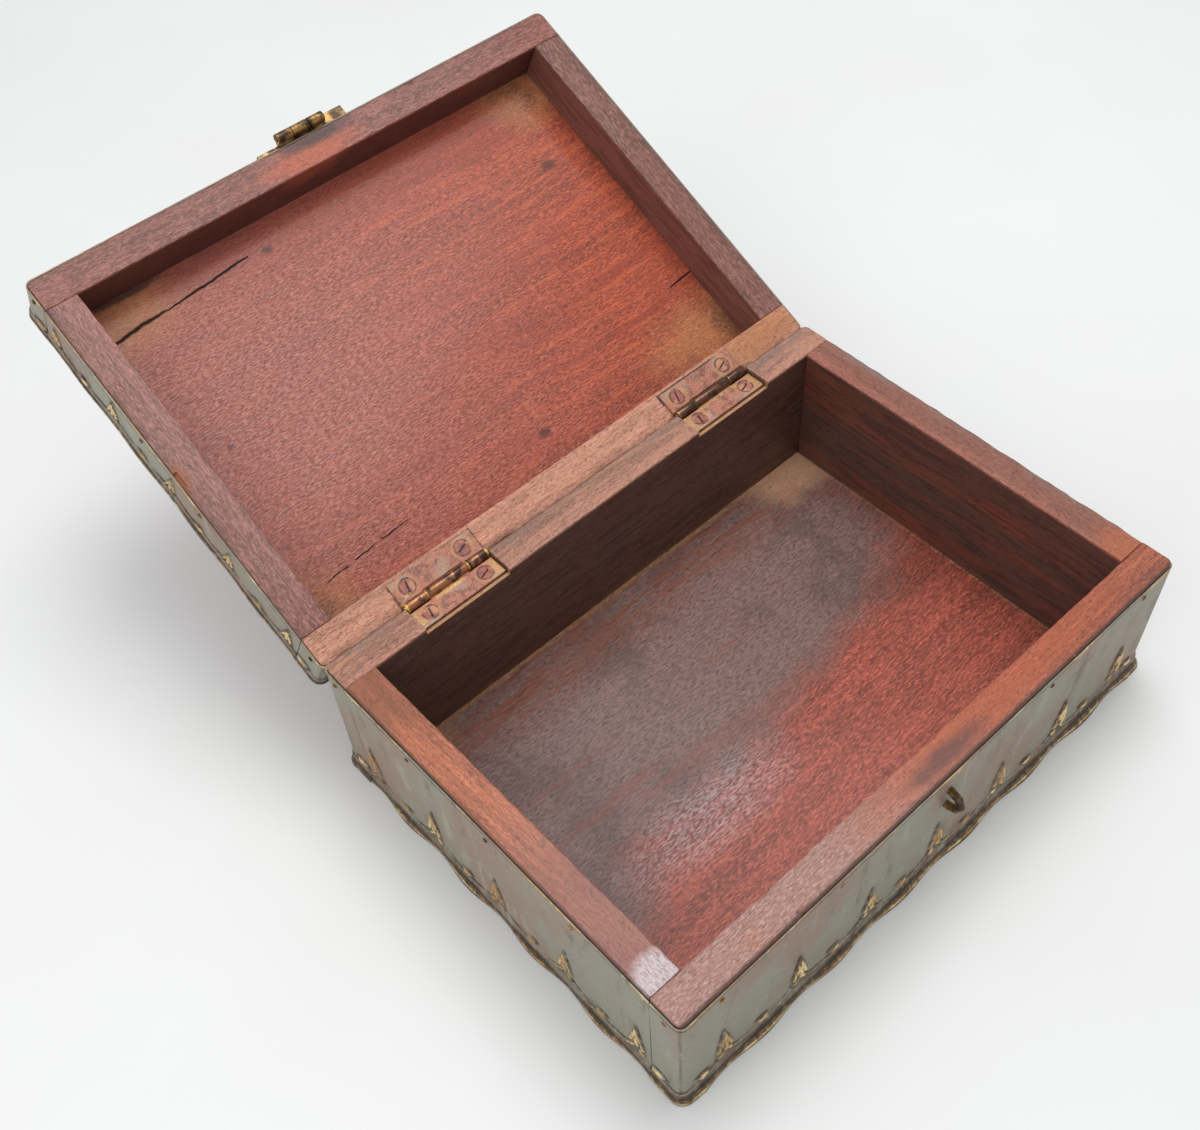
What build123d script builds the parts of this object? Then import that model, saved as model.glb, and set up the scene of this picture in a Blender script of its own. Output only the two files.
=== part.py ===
from build123d import *
from math import atan2, cos, degrees, pi
import os

# All sizes are in millimetres. The box stands on z = 0, the hinges are at +Y and the hasp at -Y.

# Overall sizes of the wooden carcass, without its metal cladding
box_width = 250.0
box_depth = 180.0
base_height = 64.0
lid_height = 23.0
wall_thickness = 13.0
bottom_thickness = 5.0
lid_recess_depth = 18.5
rim_gap = 0.3
corner_radius = 2.5
rim_edge_ease = 0.7

# How far the lid stands open as stored
lid_open_angle = 153.4

# Sheet metal cladding
sheet_thickness = 0.7
sheet_set_down = 1.6
lid_sheet_set_down = 0.7
sheet_foot_gap = 0.4
flange_width = 12.5
seam_gap = 0.2
hinge_notch_margin = 1.2
hinge_notch_clearance = 0.65
lid_edge_ease = 1.2

# Embossed border of leaves, oval bosses and swags above a flared, scalloped hem
leaf_end_inset = 19.0
leaf_width = 6.4
leaf_height = 17.0
leaf_foot = 12.8
leaf_relief = 1.5
boss_length = 7.0
boss_height = 3.4
boss_level = 9.8
boss_relief = 1.3
end_boss_inset = 9.0
swag_root = 2.5
swag_inset = 1.5
swag_low = 6.2
swag_width = 1.8
swag_relief = 0.8
swag_chords = 4
end_swag_share = 1.2
hem_at_leaf = 1.9
hem_at_boss = 3.4
hem_at_end_boss = 2.9
hem_corner_cut = 1.2
hem_root = 0.3
hem_rise = 4.4
hem_skin = 0.8
lid_border_scale = 0.62
leaf_flank = 45
leaf_quarter_share = 0.775
boss_flank = 33
boss_shoulder_share = 0.5

# Butt hinges
hinge_length = 38.5
hinge_centre_share = 0.2768
hinge_pin_radius = 1.0
pin_running_clearance = 0.05
pin_end_length = 0.35
barrel_radius = 2.1
middle_knuckle_length = 18.4
knuckle_gap = 0.25
plate_thickness = 1.1
plate_gap = 1.3
base_mortise_depth = 3.0
mortise_end_play = 1.0
barrel_relief = 0.35
hinge_set_back = 0.2
plate_reach = 11.2
plate_root = 0.6
hinge_screw_spacing = 26.0
hinge_screw_line = 6.6

# Countersunk wood screws of the hinges
screw_head_radius = 3.0
screw_shank_radius = 1.3
screw_length = 10.0
screw_slot_width = 0.7
screw_slot_depth = 0.5
screw_play = 0.03
screw_sides = 12

# Tacks that hold the cladding
tack_head_radius = 1.3
tack_head_height = 0.6
tack_shank_radius = 0.55
tack_length = 7.0
tack_drop = 5.5
back_tack_drop = 8.0
flange_tack_inset = 6.0
long_side_tack_share = 0.216
short_side_tack_share = 0.2333
lid_tack_drop = 3.4

# Hasp on the lid and the staple on the base
staple_wire_radius = 1.5
staple_leg_spacing = 9.0
staple_centre_drop = 16.0
staple_reach = 7.0
staple_leg_depth = 10.0
staple_bends = 4
staple_sides = 12
staple_hole_play = 0.03
staple_sheet_play = 0.2
hasp_barrel_length = 22.5
hasp_middle_knuckle = 7.8
hasp_axis_drop = 1.5
hasp_axis_stand_off = 2.6
hasp_pin_radius = 0.9
hasp_plate_half_width = 21.5
hasp_plate_height = 14.0
hasp_plate_thickness = 1.1
hasp_plate_margin = 0.3
hasp_tack_spread = 16.0
hasp_tack_height = 9.0
hasp_tab_width = 10.0
hasp_tab_reach = 4.4
tongue_width = 14.0
tongue_length = 29.0
tongue_thickness = 1.1
tongue_end_radius = 4.0
tongue_neck = 3.4
tongue_slot_width = 3.9
tongue_slot_play = 1.2

# Levels and half sizes that follow from the sizes above
half_width = box_width / 2
half_depth = box_depth / 2
inner_width = box_width - 2 * wall_thickness
inner_depth = box_depth - 2 * wall_thickness
lid_rim_level = base_height + rim_gap
lid_top_level = lid_rim_level + lid_height
lid_panel_thickness = lid_height - lid_recess_depth
hinge_axis_y = half_depth + hinge_set_back
hinge_axis_z = base_height - base_mortise_depth + plate_thickness + plate_gap / 2
lid_plate_underside = hinge_axis_z + plate_gap / 2
lid_mortise_top = lid_plate_underside + plate_thickness
base_plate_underside = base_height - base_mortise_depth
hinge_axis = Axis((0, hinge_axis_y, hinge_axis_z), (1, 0, 0))
hasp_axis_y = -half_depth - sheet_thickness - hasp_axis_stand_off
hasp_axis_z = lid_rim_level - hasp_axis_drop
staple_centre_z = base_height - staple_centre_drop
base_sheet_top = base_height - sheet_set_down
lid_sheet_foot = lid_rim_level + lid_sheet_set_down
lid_sheet_top = lid_top_level - sheet_foot_gap
hinge_centre = hinge_centre_share * box_width
hinge_offsets = {"left": -hinge_centre, "right": hinge_centre}
sides = ("front", "right", "back", "left")
side_lengths = {"front": box_width, "right": box_depth, "back": box_width, "left": box_depth}
leaf_counts = {"front": 7, "right": 5, "back": 7, "left": 5}
opposite_sides = {"front": "back", "right": "left"}


def swing_open(piece):
    """A lid piece is drawn with the lid shut, then turned about the hinge pins to where it rests."""
    return piece.rotate(hinge_axis, -lid_open_angle)


def side_plane(side, level, upward=True):
    """The plane of one outer side of the carcass: x runs along it, y up or down, z outward."""
    origin, along, outward = {
        "front": ((0, -half_depth, level), (1, 0, 0), (0, -1, 0)),
        "right": ((half_width, 0, level), (0, 1, 0), (1, 0, 0)),
        "back": ((0, half_depth, level), (-1, 0, 0), (0, 1, 0)),
        "left": ((-half_width, 0, level), (0, -1, 0), (-1, 0, 0)),
    }[side]
    if not upward:
        along = tuple(-value for value in along)
    return Plane(origin=origin, x_dir=along, z_dir=outward)


def leaf_step(side):
    """The even step from leaf to leaf along one side."""
    return (side_lengths[side] - 2 * leaf_end_inset) / (leaf_counts[side] - 1)


def leaf_places(side):
    """Seven leaves stand on each long side and five on each short one, spread about its middle."""
    count = leaf_counts[side]
    return [leaf_step(side) * (index - (count - 1) / 2) for index in range(count)]


def boss_places(side):
    """An oval boss lies halfway between each two leaves."""
    places = leaf_places(side)
    return [(first + second) / 2 for first, second in zip(places, places[1:])]


def end_boss_places(side):
    """The last boss at each end of a side lies close to the corner, past the last leaf."""
    half_length = side_lengths[side] / 2
    return [end_boss_inset - half_length, half_length - end_boss_inset]


def embossed_leaf(length):
    """A raised leaf with two pointed ends and sloping flanks, centred on the origin."""
    tip = length / 2
    quarter = length / 4
    half_width_of_leaf = leaf_width / 2
    quarter_width = half_width_of_leaf * leaf_quarter_share
    with BuildPart() as leaf:
        with BuildSketch():
            with BuildLine():
                Polyline(
                    (-tip, 0),
                    (-quarter, -quarter_width),
                    (0, -half_width_of_leaf),
                    (quarter, -quarter_width),
                    (tip, 0),
                    (quarter, quarter_width),
                    (0, half_width_of_leaf),
                    (-quarter, quarter_width),
                    close=True,
                )
            make_face()
        extrude(amount=leaf_relief, taper=leaf_flank)
    return leaf.part


def oval_boss():
    """A small six-sided boss with sloping flanks, centred on the origin."""
    tip = boss_length / 2
    shoulder = tip * boss_shoulder_share
    half_height = boss_height / 2
    with BuildPart() as boss:
        with BuildSketch():
            with BuildLine():
                Polyline(
                    (-tip, 0),
                    (-shoulder, -half_height),
                    (shoulder, -half_height),
                    (tip, 0),
                    (shoulder, half_height),
                    (-shoulder, half_height),
                    close=True,
                )
            make_face()
        extrude(amount=boss_relief, taper=boss_flank)
    return boss.part


def hanging_band(start, middle, end):
    """A flat raised band that hangs in short chords along an arc through three points."""
    with BuildPart() as band:
        with BuildSketch():
            with BuildLine():
                arc = ThreePointArc(start, middle, end, mode=Mode.PRIVATE)
                line = [arc @ (step / swag_chords) for step in range(swag_chords + 1)]
                upper = [(point.X, point.Y + swag_width / 2) for point in line]
                lower = [(point.X, point.Y - swag_width / 2) for point in reversed(line)]
                Polyline(*upper, *lower, close=True)
            make_face()
        extrude(amount=swag_relief)
    return band.part


def whole_swag(side):
    """The swag that hangs between two leaves."""
    half = leaf_step(side) / 2 - swag_inset
    tied = leaf_foot + swag_root
    return hanging_band((-half, tied), (0, swag_low), (half, tied))


def end_swag(sign):
    """The half swag that falls from the last leaf toward a corner."""
    reach = sign * end_boss_inset * end_swag_share
    slack = (leaf_foot + 2 * swag_low) / 3
    return hanging_band((sign * swag_inset, leaf_foot + swag_root), (reach / 2, slack), (reach, swag_low))


def hem_stations(side):
    """Places along one side and how far the hem stands out there: least at a leaf, most at a boss."""
    corner = side_lengths[side] / 2 - hem_corner_cut
    stations = [(-corner, hem_at_leaf), (corner, hem_at_leaf)]
    stations += [(place, hem_at_end_boss) for place in end_boss_places(side)]
    stations += [(place, hem_at_leaf) for place in leaf_places(side)]
    stations += [(place, hem_at_boss) for place in boss_places(side)]
    return sorted(stations)


def flared_hem(edge_level, root_level, skin):
    """The hem flares from its root on the sheet out to a scalloped edge."""
    with BuildPart() as hem:
        for level, share in ((edge_level, 1.0), (root_level, 0.0)):
            points = []
            for side in sides:
                for place, stand_out in hem_stations(side):
                    reach = sheet_thickness + share * stand_out - (1 - share) * hem_root - skin
                    points.append(side_plane(side, level).from_local_coords((place, 0, reach)))
            with BuildSketch(Plane.XY.offset(level)):
                with BuildLine():
                    Polyline(*[(point.X, point.Y) for point in points], close=True)
                make_face()
        loft(ruled=True)
    return hem.part


def cladding(foot, top, upward):
    """The sheet metal round the whole carcass, with its border and hem, before it is cut in four."""
    hem_level = foot if upward else top
    scale = 1.0 if upward else lid_border_scale
    hem_root_level = hem_level + (hem_rise if upward else -hem_rise * scale)
    leaf_spots = []
    boss_spots = []
    first_leaf_spots = []
    last_leaf_spots = []
    swag_spots = {side: [] for side in sides}
    for side in sides:
        face = side_plane(side, hem_level, upward).offset(sheet_thickness)
        leaf_level = (leaf_foot + leaf_height / 2) * scale
        leaf_spots += [face * Location((place, leaf_level, 0), (0, 0, 90)) for place in leaf_places(side)]
        for place in boss_places(side) + end_boss_places(side):
            boss_spots.append(face * Location((place, boss_level * scale, 0)))
        swag_spots[side] = [face * Location((place, 0, 0)) for place in boss_places(side)]
        first_leaf_spots.append(face * Location((leaf_places(side)[0], 0, 0)))
        last_leaf_spots.append(face * Location((leaf_places(side)[-1], 0, 0)))
    with BuildPart() as metal:
        add(flared_hem(hem_level, hem_root_level, 0))
        add(flared_hem(hem_level, hem_root_level, hem_skin), mode=Mode.SUBTRACT)
        with BuildSketch(Plane.XY.offset(foot)):
            RectangleRounded(
                box_width + 2 * sheet_thickness,
                box_depth + 2 * sheet_thickness,
                corner_radius + sheet_thickness,
            )
        extrude(amount=top - foot)
        with BuildSketch(Plane.XY.offset(foot)):
            RectangleRounded(box_width, box_depth, corner_radius)
        extrude(amount=top - foot, mode=Mode.SUBTRACT)
        with Locations(*leaf_spots):
            add(embossed_leaf(leaf_height * scale))
        with Locations(*boss_spots):
            add(oval_boss())
        if upward:
            for side in ("front", "right"):
                with Locations(*swag_spots[side], *swag_spots[opposite_sides[side]]):
                    add(whole_swag(side))
            with Locations(*first_leaf_spots):
                add(end_swag(-1))
            with Locations(*last_leaf_spots):
                add(end_swag(1))
    return metal.part


def side_region(side):
    """The block that one sheet is cut from: the front and back sheets fold round the corners."""
    long_reach = box_width + 40
    tall = 4 * base_height
    front_line = half_depth - flange_width
    if side in ("front", "back"):
        sign = -1 if side == "front" else 1
        with BuildPart(Location((0, sign * (front_line + flange_width), 0))) as region:
            Box(long_reach, 2 * flange_width, tall)
    else:
        sign = -1 if side == "left" else 1
        with BuildPart(Location((sign * half_width, 0, 0))) as region:
            Box(box_width / 2, 2 * (front_line - seam_gap), tall)
    return region.part


def tack():
    """A small cut tack with a six-sided head and a square shank, driven along -Z."""
    with BuildPart() as nail:
        with BuildSketch():
            RegularPolygon(tack_head_radius, 6)
        extrude(amount=tack_head_height, taper=40)
        with BuildSketch():
            Rectangle(2 * tack_shank_radius, 2 * tack_shank_radius)
        extrude(amount=-tack_length)
    return nail.part


def tack_hole():
    """The square hole that a tack's shank fills."""
    with BuildPart() as hole:
        with BuildSketch():
            Rectangle(2 * tack_shank_radius, 2 * tack_shank_radius)
        extrude(amount=-tack_length)
    return hole.part


def tack_locations(places_by_side, level_of):
    """Where tacks stand on the outer face of the cladding, one list for all four sides."""
    found = []
    for side, places in places_by_side.items():
        face = side_plane(side, level_of(side)).offset(sheet_thickness)
        found += [face * Location((place, 0, 0)) for place in places]
    return found


long_side_tacks = [long_side_tack_share * box_width * step for step in (-2, -1, 1, 2)]
back_tacks = [long_side_tack_share * box_width * step for step in (-2, 0, 2)]
short_side_tacks = [short_side_tack_share * box_depth * step for step in (-1, 0, 1)]
flange_tacks = [flange_tack_inset - half_depth, half_depth - flange_tack_inset]
base_tack_places = tack_locations(
    {
        "front": long_side_tacks,
        "right": short_side_tacks + flange_tacks,
        "back": back_tacks,
        "left": short_side_tacks + flange_tacks,
    },
    lambda side: base_height - (back_tack_drop if side == "back" else tack_drop),
)
lid_long_side_tacks = boss_places("front")[:2] + boss_places("front")[-2:]
lid_short_side_tacks = boss_places("right")[1:3] + flange_tacks
lid_tack_places = tack_locations(
    {
        "front": lid_long_side_tacks,
        "right": lid_short_side_tacks,
        "back": lid_long_side_tacks,
        "left": lid_short_side_tacks,
    },
    lambda side: lid_sheet_foot + lid_tack_drop,
)


hasp_tack_face = side_plane("front", lid_sheet_foot).offset(sheet_thickness + hasp_plate_thickness)
hasp_tack_places = [
    hasp_tack_face * Location((place, hasp_tack_height, 0)) for place in (-hasp_tack_spread, hasp_tack_spread)
]


def countersunk_form(play):
    """A flat-headed wood screw without its slot, pointing down, its head's top face at the origin."""
    inset = (screw_head_radius - screw_shank_radius) * cos(pi / screw_sides)
    with BuildPart() as form:
        with BuildSketch():
            RegularPolygon(screw_head_radius + play, screw_sides)
        extrude(amount=plate_thickness, taper=degrees(atan2(inset, plate_thickness)))
        with BuildSketch(Plane.XY.offset(plate_thickness)):
            RegularPolygon(screw_shank_radius + play, screw_sides)
        extrude(amount=screw_length + play - plate_thickness)
    return form.part.rotate(Axis.X, 180)


def hinge_screw():
    """The wood screw with the slot that the driver turned it by."""
    with BuildPart() as screw:
        add(countersunk_form(0))
        Box(
            3 * screw_head_radius,
            screw_slot_width,
            2 * screw_slot_depth,
            mode=Mode.SUBTRACT,
        )
    return screw.part


def staple_leg_holes(play):
    """The two blind holes that the legs of the staple are driven into."""
    drill_start = (0, -half_depth - staple_leg_depth, staple_centre_z)
    front = Plane(origin=drill_start, x_dir=(1, 0, 0), z_dir=(0, 1, 0))
    with BuildPart() as holes:
        with BuildSketch(front):
            with Locations((0, -staple_leg_spacing / 2), (0, staple_leg_spacing / 2)):
                RegularPolygon(staple_wire_radius + play, staple_sides, major_radius=False)
        extrude(amount=2 * staple_leg_depth)
    return holes.part


def hinge_screw_places(plate_face, head_up, centre):
    """Two screws through each hinge plate, their slots standing as the driver left them."""
    flip = 0 if head_up else 180
    line_y = half_depth - hinge_screw_line
    return [
        Location((centre - hinge_screw_spacing / 2, line_y, plate_face), (flip, 0, 75)),
        Location((centre + hinge_screw_spacing / 2, line_y, plate_face), (flip, 0, 20)),
    ]


base_plate_face = base_plate_underside + plate_thickness
base_screw_places = []
lid_screw_places = []
for centre in hinge_offsets.values():
    base_screw_places += hinge_screw_places(base_plate_face, True, centre)
    lid_screw_places += hinge_screw_places(lid_plate_underside, False, centre)


def block(x_from, x_to, y_from, y_to, z_from, z_to):
    """A plain block between two opposite corners."""
    with BuildPart() as piece:
        with Locations(((x_from + x_to) / 2, (y_from + y_to) / 2, (z_from + z_to) / 2)):
            Box(x_to - x_from, y_to - y_from, z_to - z_from)
    return piece.part


def rod(radius, x_from, x_to, line_y, line_z):
    """A round bar lying along X."""
    with BuildPart() as piece:
        with Locations(Location(((x_from + x_to) / 2, line_y, line_z), (0, 90, 0))):
            Cylinder(radius, x_to - x_from)
    return piece.part


def wall_ring(foot, height, rim_up):
    """Four walls in one ring, with the edges of the rim eased, before the corner joints are cut."""
    with BuildPart() as ring:
        with BuildSketch(Plane.XY.offset(foot)):
            RectangleRounded(box_width, box_depth, corner_radius)
            Rectangle(inner_width, inner_depth, mode=Mode.SUBTRACT)
        extrude(amount=height)
        rim = ring.faces().filter_by(Axis.Z).sort_by(Axis.Z)[-1 if rim_up else 0]
        chamfer(rim.edges(), rim_edge_ease)
    return ring.part


def wall_region(side, foot, height):
    """The room of one wall: front and back run the full width, the side walls stand between them."""
    sign = -1 if side in ("front", "left") else 1
    if side in ("front", "back"):
        faces = sorted((sign * half_depth, sign * inner_depth / 2))
        return block(-half_width, half_width, faces[0], faces[1], foot, foot + height)
    faces = sorted((sign * half_width, sign * inner_width / 2))
    return block(faces[0], faces[1], -inner_depth / 2, inner_depth / 2, foot, foot + height)


def base_wall(side):
    """One wall board of the base with the holes its tacks are driven into."""
    with BuildPart() as wall:
        add(base_ring)
        add(wall_region(side, 0, base_height), mode=Mode.INTERSECT)
        with Locations(*base_tack_places):
            add(tack_hole(), mode=Mode.SUBTRACT)
    return wall.part


def lid_rail(side):
    """One rail of the lid with the holes its tacks are driven into."""
    with BuildPart() as rail:
        add(lid_ring)
        add(wall_region(side, lid_rim_level, lid_recess_depth), mode=Mode.INTERSECT)
        with Locations(*lid_tack_places):
            add(tack_hole(), mode=Mode.SUBTRACT)
    return rail.part


def mortises(z_from, z_to):
    """Room for both hinges, cut right through the rim from the back face to the inner face."""
    half_cut = (hinge_length + mortise_end_play) / 2
    with BuildPart() as cuts:
        for centre in hinge_offsets.values():
            left = centre - half_cut
            right = centre + half_cut
            add(block(left, right, half_depth - 1.5 * wall_thickness, 2 * half_depth, z_from, z_to))
            add(rod(barrel_radius + barrel_relief, left, right, hinge_axis_y, hinge_axis_z))
    return cuts.part


def hinge_notches():
    """The gaps left in the cladding round both hinge barrels."""
    half_cut = hinge_length / 2 + hinge_notch_margin
    drop = barrel_radius + hinge_notch_clearance
    with BuildPart() as cuts:
        for centre in hinge_offsets.values():
            left = centre - half_cut
            right = centre + half_cut
            inside = half_depth - flange_width
            add(block(left, right, inside, 2 * half_depth, hinge_axis_z - drop, hinge_axis_z + drop))
    return cuts.part


def hinge_plate(z_from, z_to, knuckle_spans, hole_radius, screw_face, head_up):
    """One plate of a butt hinge, centred on x = 0, with the knuckles that are rolled from it."""
    hinge_end = hinge_length / 2
    front_edge = hinge_axis_y - plate_reach
    back_edge = hinge_axis_y - plate_root
    cut_back = hinge_axis_y - barrel_radius - barrel_relief
    with BuildPart() as plate:
        add(block(-hinge_end, hinge_end, front_edge, cut_back, z_from, z_to))
        for start, end in knuckle_spans:
            add(block(start, end, front_edge, back_edge, z_from, z_to))
            add(rod(barrel_radius, start, end, hinge_axis_y, hinge_axis_z))
        add(rod(hole_radius, -hinge_length, hinge_length, hinge_axis_y, hinge_axis_z), mode=Mode.SUBTRACT)
        with Locations(*hinge_screw_places(screw_face, head_up, 0)):
            add(countersunk_form(screw_play), mode=Mode.SUBTRACT)
    return plate.part


base_ring = wall_ring(0, base_height, True)
lid_ring = wall_ring(lid_rim_level, lid_recess_depth, False)
base_metal = cladding(sheet_foot_gap, base_sheet_top, True)
lid_metal = cladding(lid_sheet_foot, lid_sheet_top, False)

half_middle_knuckle = middle_knuckle_length / 2
end_knuckle_start = half_middle_knuckle + knuckle_gap
base_knuckle_spans = [(-half_middle_knuckle, half_middle_knuckle)]
lid_knuckle_spans = [(-hinge_length / 2, -end_knuckle_start), (end_knuckle_start, hinge_length / 2)]


# Front board of the base: full width, with two blind holes for the legs of the staple
with BuildPart() as base_front_board:
    add(base_wall("front"))
    add(staple_leg_holes(staple_hole_play), mode=Mode.SUBTRACT)

# Back board of the base, its rim cut away for the two butt hinges
with BuildPart() as base_back_board:
    add(base_wall("back"))
    add(mortises(base_plate_underside, 2 * base_height), mode=Mode.SUBTRACT)
    with Locations(*base_screw_places):
        add(countersunk_form(screw_play), mode=Mode.SUBTRACT)

# Two side boards, butted between the front and the back
with BuildPart() as base_left_board:
    add(base_wall("left"))

with BuildPart() as base_right_board:
    add(base_wall("right"))

# Bottom board, let in between the four walls and flush with their lower edges
with BuildPart() as base_bottom_board:
    add(block(-inner_width / 2, inner_width / 2, -inner_depth / 2, inner_depth / 2, 0, bottom_thickness))


def base_sheet(side):
    """One sheet of the base cladding, cut from the whole ring and pierced for its tacks."""
    with BuildPart() as sheet:
        add(base_metal)
        add(side_region(side), mode=Mode.INTERSECT)
        with Locations(*base_tack_places):
            add(tack_hole(), mode=Mode.SUBTRACT)
    return sheet.part


def lid_sheet(side):
    """One sheet of the lid cladding, cut from the whole ring and pierced for its tacks."""
    with BuildPart() as sheet:
        add(lid_metal)
        add(side_region(side), mode=Mode.INTERSECT)
        with Locations(*lid_tack_places):
            add(tack_hole(), mode=Mode.SUBTRACT)
    return sheet.part


# Embossed metal on the front of the base, folded round both corners and pierced for the staple
with BuildPart() as base_front_sheet:
    add(base_sheet("front"))
    add(staple_leg_holes(staple_sheet_play), mode=Mode.SUBTRACT)

# Embossed metal on the back of the base, folded round both corners and notched round the hinges
with BuildPart() as base_back_sheet:
    add(base_sheet("back"))
    add(hinge_notches(), mode=Mode.SUBTRACT)

# Embossed metal on the two short sides, between the folded flanges
with BuildPart() as base_left_sheet:
    add(base_sheet("left"))

with BuildPart() as base_right_sheet:
    add(base_sheet("right"))

# Small tacks along the upper edge of the base cladding
with BuildPart() as base_sheet_tacks:
    with Locations(*base_tack_places):
        add(tack())

# Lower hinge plates, screwed into the cut-away rim; each carries the long middle knuckle
lower_plate = hinge_plate(
    base_plate_underside, base_plate_face, base_knuckle_spans, hinge_pin_radius, base_plate_face, True
)
with BuildPart() as hinge_left_base_plate:
    with Locations((-hinge_centre, 0, 0)):
        add(lower_plate)

with BuildPart() as hinge_right_base_plate:
    with Locations((hinge_centre, 0, 0)):
        add(lower_plate)

# Hinge pins, held fast in the middle knuckles and turning in the outer ones
half_pin = hinge_length / 2 + pin_end_length
hinge_pin = rod(hinge_pin_radius, -half_pin, half_pin, hinge_axis_y, hinge_axis_z)
with BuildPart() as hinge_left_pin:
    with Locations((-hinge_centre, 0, 0)):
        add(hinge_pin)

with BuildPart() as hinge_right_pin:
    with Locations((hinge_centre, 0, 0)):
        add(hinge_pin)

# Flat-headed wood screws of the lower hinge plates
with BuildPart() as base_hinge_screws:
    with Locations(*base_screw_places):
        add(hinge_screw())

# Wire staple in the middle of the front, for the slot of the hasp to drop over
staple_turn_y = -half_depth - sheet_thickness - staple_reach + staple_wire_radius
with BuildPart() as base_staple:
    with BuildLine(Plane.YZ):
        bend = staple_leg_spacing / 2
        leg_end = -half_depth + staple_leg_depth
        turn = ThreePointArc(
            (staple_turn_y + bend, staple_centre_z + bend),
            (staple_turn_y, staple_centre_z),
            (staple_turn_y + bend, staple_centre_z - bend),
            mode=Mode.PRIVATE,
        )
        round_the_turn = [turn @ (step / staple_bends) for step in range(staple_bends + 1)]
        Polyline(
            (leg_end, staple_centre_z + bend),
            *[(point.Y, point.Z) for point in round_the_turn],
            (leg_end, staple_centre_z - bend),
        )
    with BuildSketch(Plane(origin=(0, leg_end, staple_centre_z + bend), x_dir=(1, 0, 0), z_dir=(0, -1, 0))):
        RegularPolygon(staple_wire_radius, staple_sides)
    sweep(transition=Transition.RIGHT)

# Four rails of the lid: front and back run the full width, the side rails stand between them
with BuildPart() as lid_front_rail:
    add(lid_rail("front"))
    with Locations(*hasp_tack_places):
        add(tack_hole(), mode=Mode.SUBTRACT)

with BuildPart() as lid_back_rail:
    add(lid_rail("back"))
    add(mortises(lid_rim_level - rim_gap, lid_mortise_top), mode=Mode.SUBTRACT)
    with Locations(*lid_screw_places):
        add(countersunk_form(screw_play), mode=Mode.SUBTRACT)

with BuildPart() as lid_left_rail:
    add(lid_rail("left"))

with BuildPart() as lid_right_rail:
    add(lid_rail("right"))

# Panel of the lid, glued and pinned on the rails, its outer edges eased
with BuildPart() as lid_panel:
    with BuildSketch(Plane.XY.offset(lid_rim_level + lid_recess_depth)):
        RectangleRounded(box_width, box_depth, corner_radius)
    extrude(amount=lid_panel_thickness)
    chamfer(lid_panel.faces().sort_by(Axis.Z)[-1].edges(), lid_edge_ease)

# Embossed metal on the front of the lid, left flat where the plate of the hasp lies on it
with BuildPart() as lid_front_sheet:
    add(lid_sheet("front"))
    add(
        block(
            -hasp_plate_half_width - hasp_plate_margin,
            hasp_plate_half_width + hasp_plate_margin,
            -half_depth - 2 * wall_thickness,
            -half_depth - sheet_thickness,
            base_height,
            lid_sheet_foot + hasp_plate_height + hasp_plate_margin,
        ),
        mode=Mode.SUBTRACT,
    )
    with Locations(*hasp_tack_places):
        add(tack_hole(), mode=Mode.SUBTRACT)

# Embossed metal on the back of the lid, notched round the hinges
with BuildPart() as lid_back_sheet:
    add(lid_sheet("back"))
    add(hinge_notches(), mode=Mode.SUBTRACT)

# Embossed metal on the two short sides of the lid
with BuildPart() as lid_left_sheet:
    add(lid_sheet("left"))

with BuildPart() as lid_right_sheet:
    add(lid_sheet("right"))

# Small tacks along the rim of the lid cladding
with BuildPart() as lid_sheet_tacks:
    with Locations(*lid_tack_places):
        add(tack())

# Upper hinge plates, screwed to the lid; each carries the two outer knuckles
upper_plate = hinge_plate(
    lid_plate_underside,
    lid_mortise_top,
    lid_knuckle_spans,
    hinge_pin_radius + pin_running_clearance,
    lid_plate_underside,
    False,
)
with BuildPart() as hinge_left_lid_plate:
    with Locations((-hinge_centre, 0, 0)):
        add(upper_plate)

with BuildPart() as hinge_right_lid_plate:
    with Locations((hinge_centre, 0, 0)):
        add(upper_plate)

# Flat-headed wood screws of the upper hinge plates
with BuildPart() as lid_hinge_screws:
    with Locations(*lid_screw_places):
        add(hinge_screw())

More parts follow.
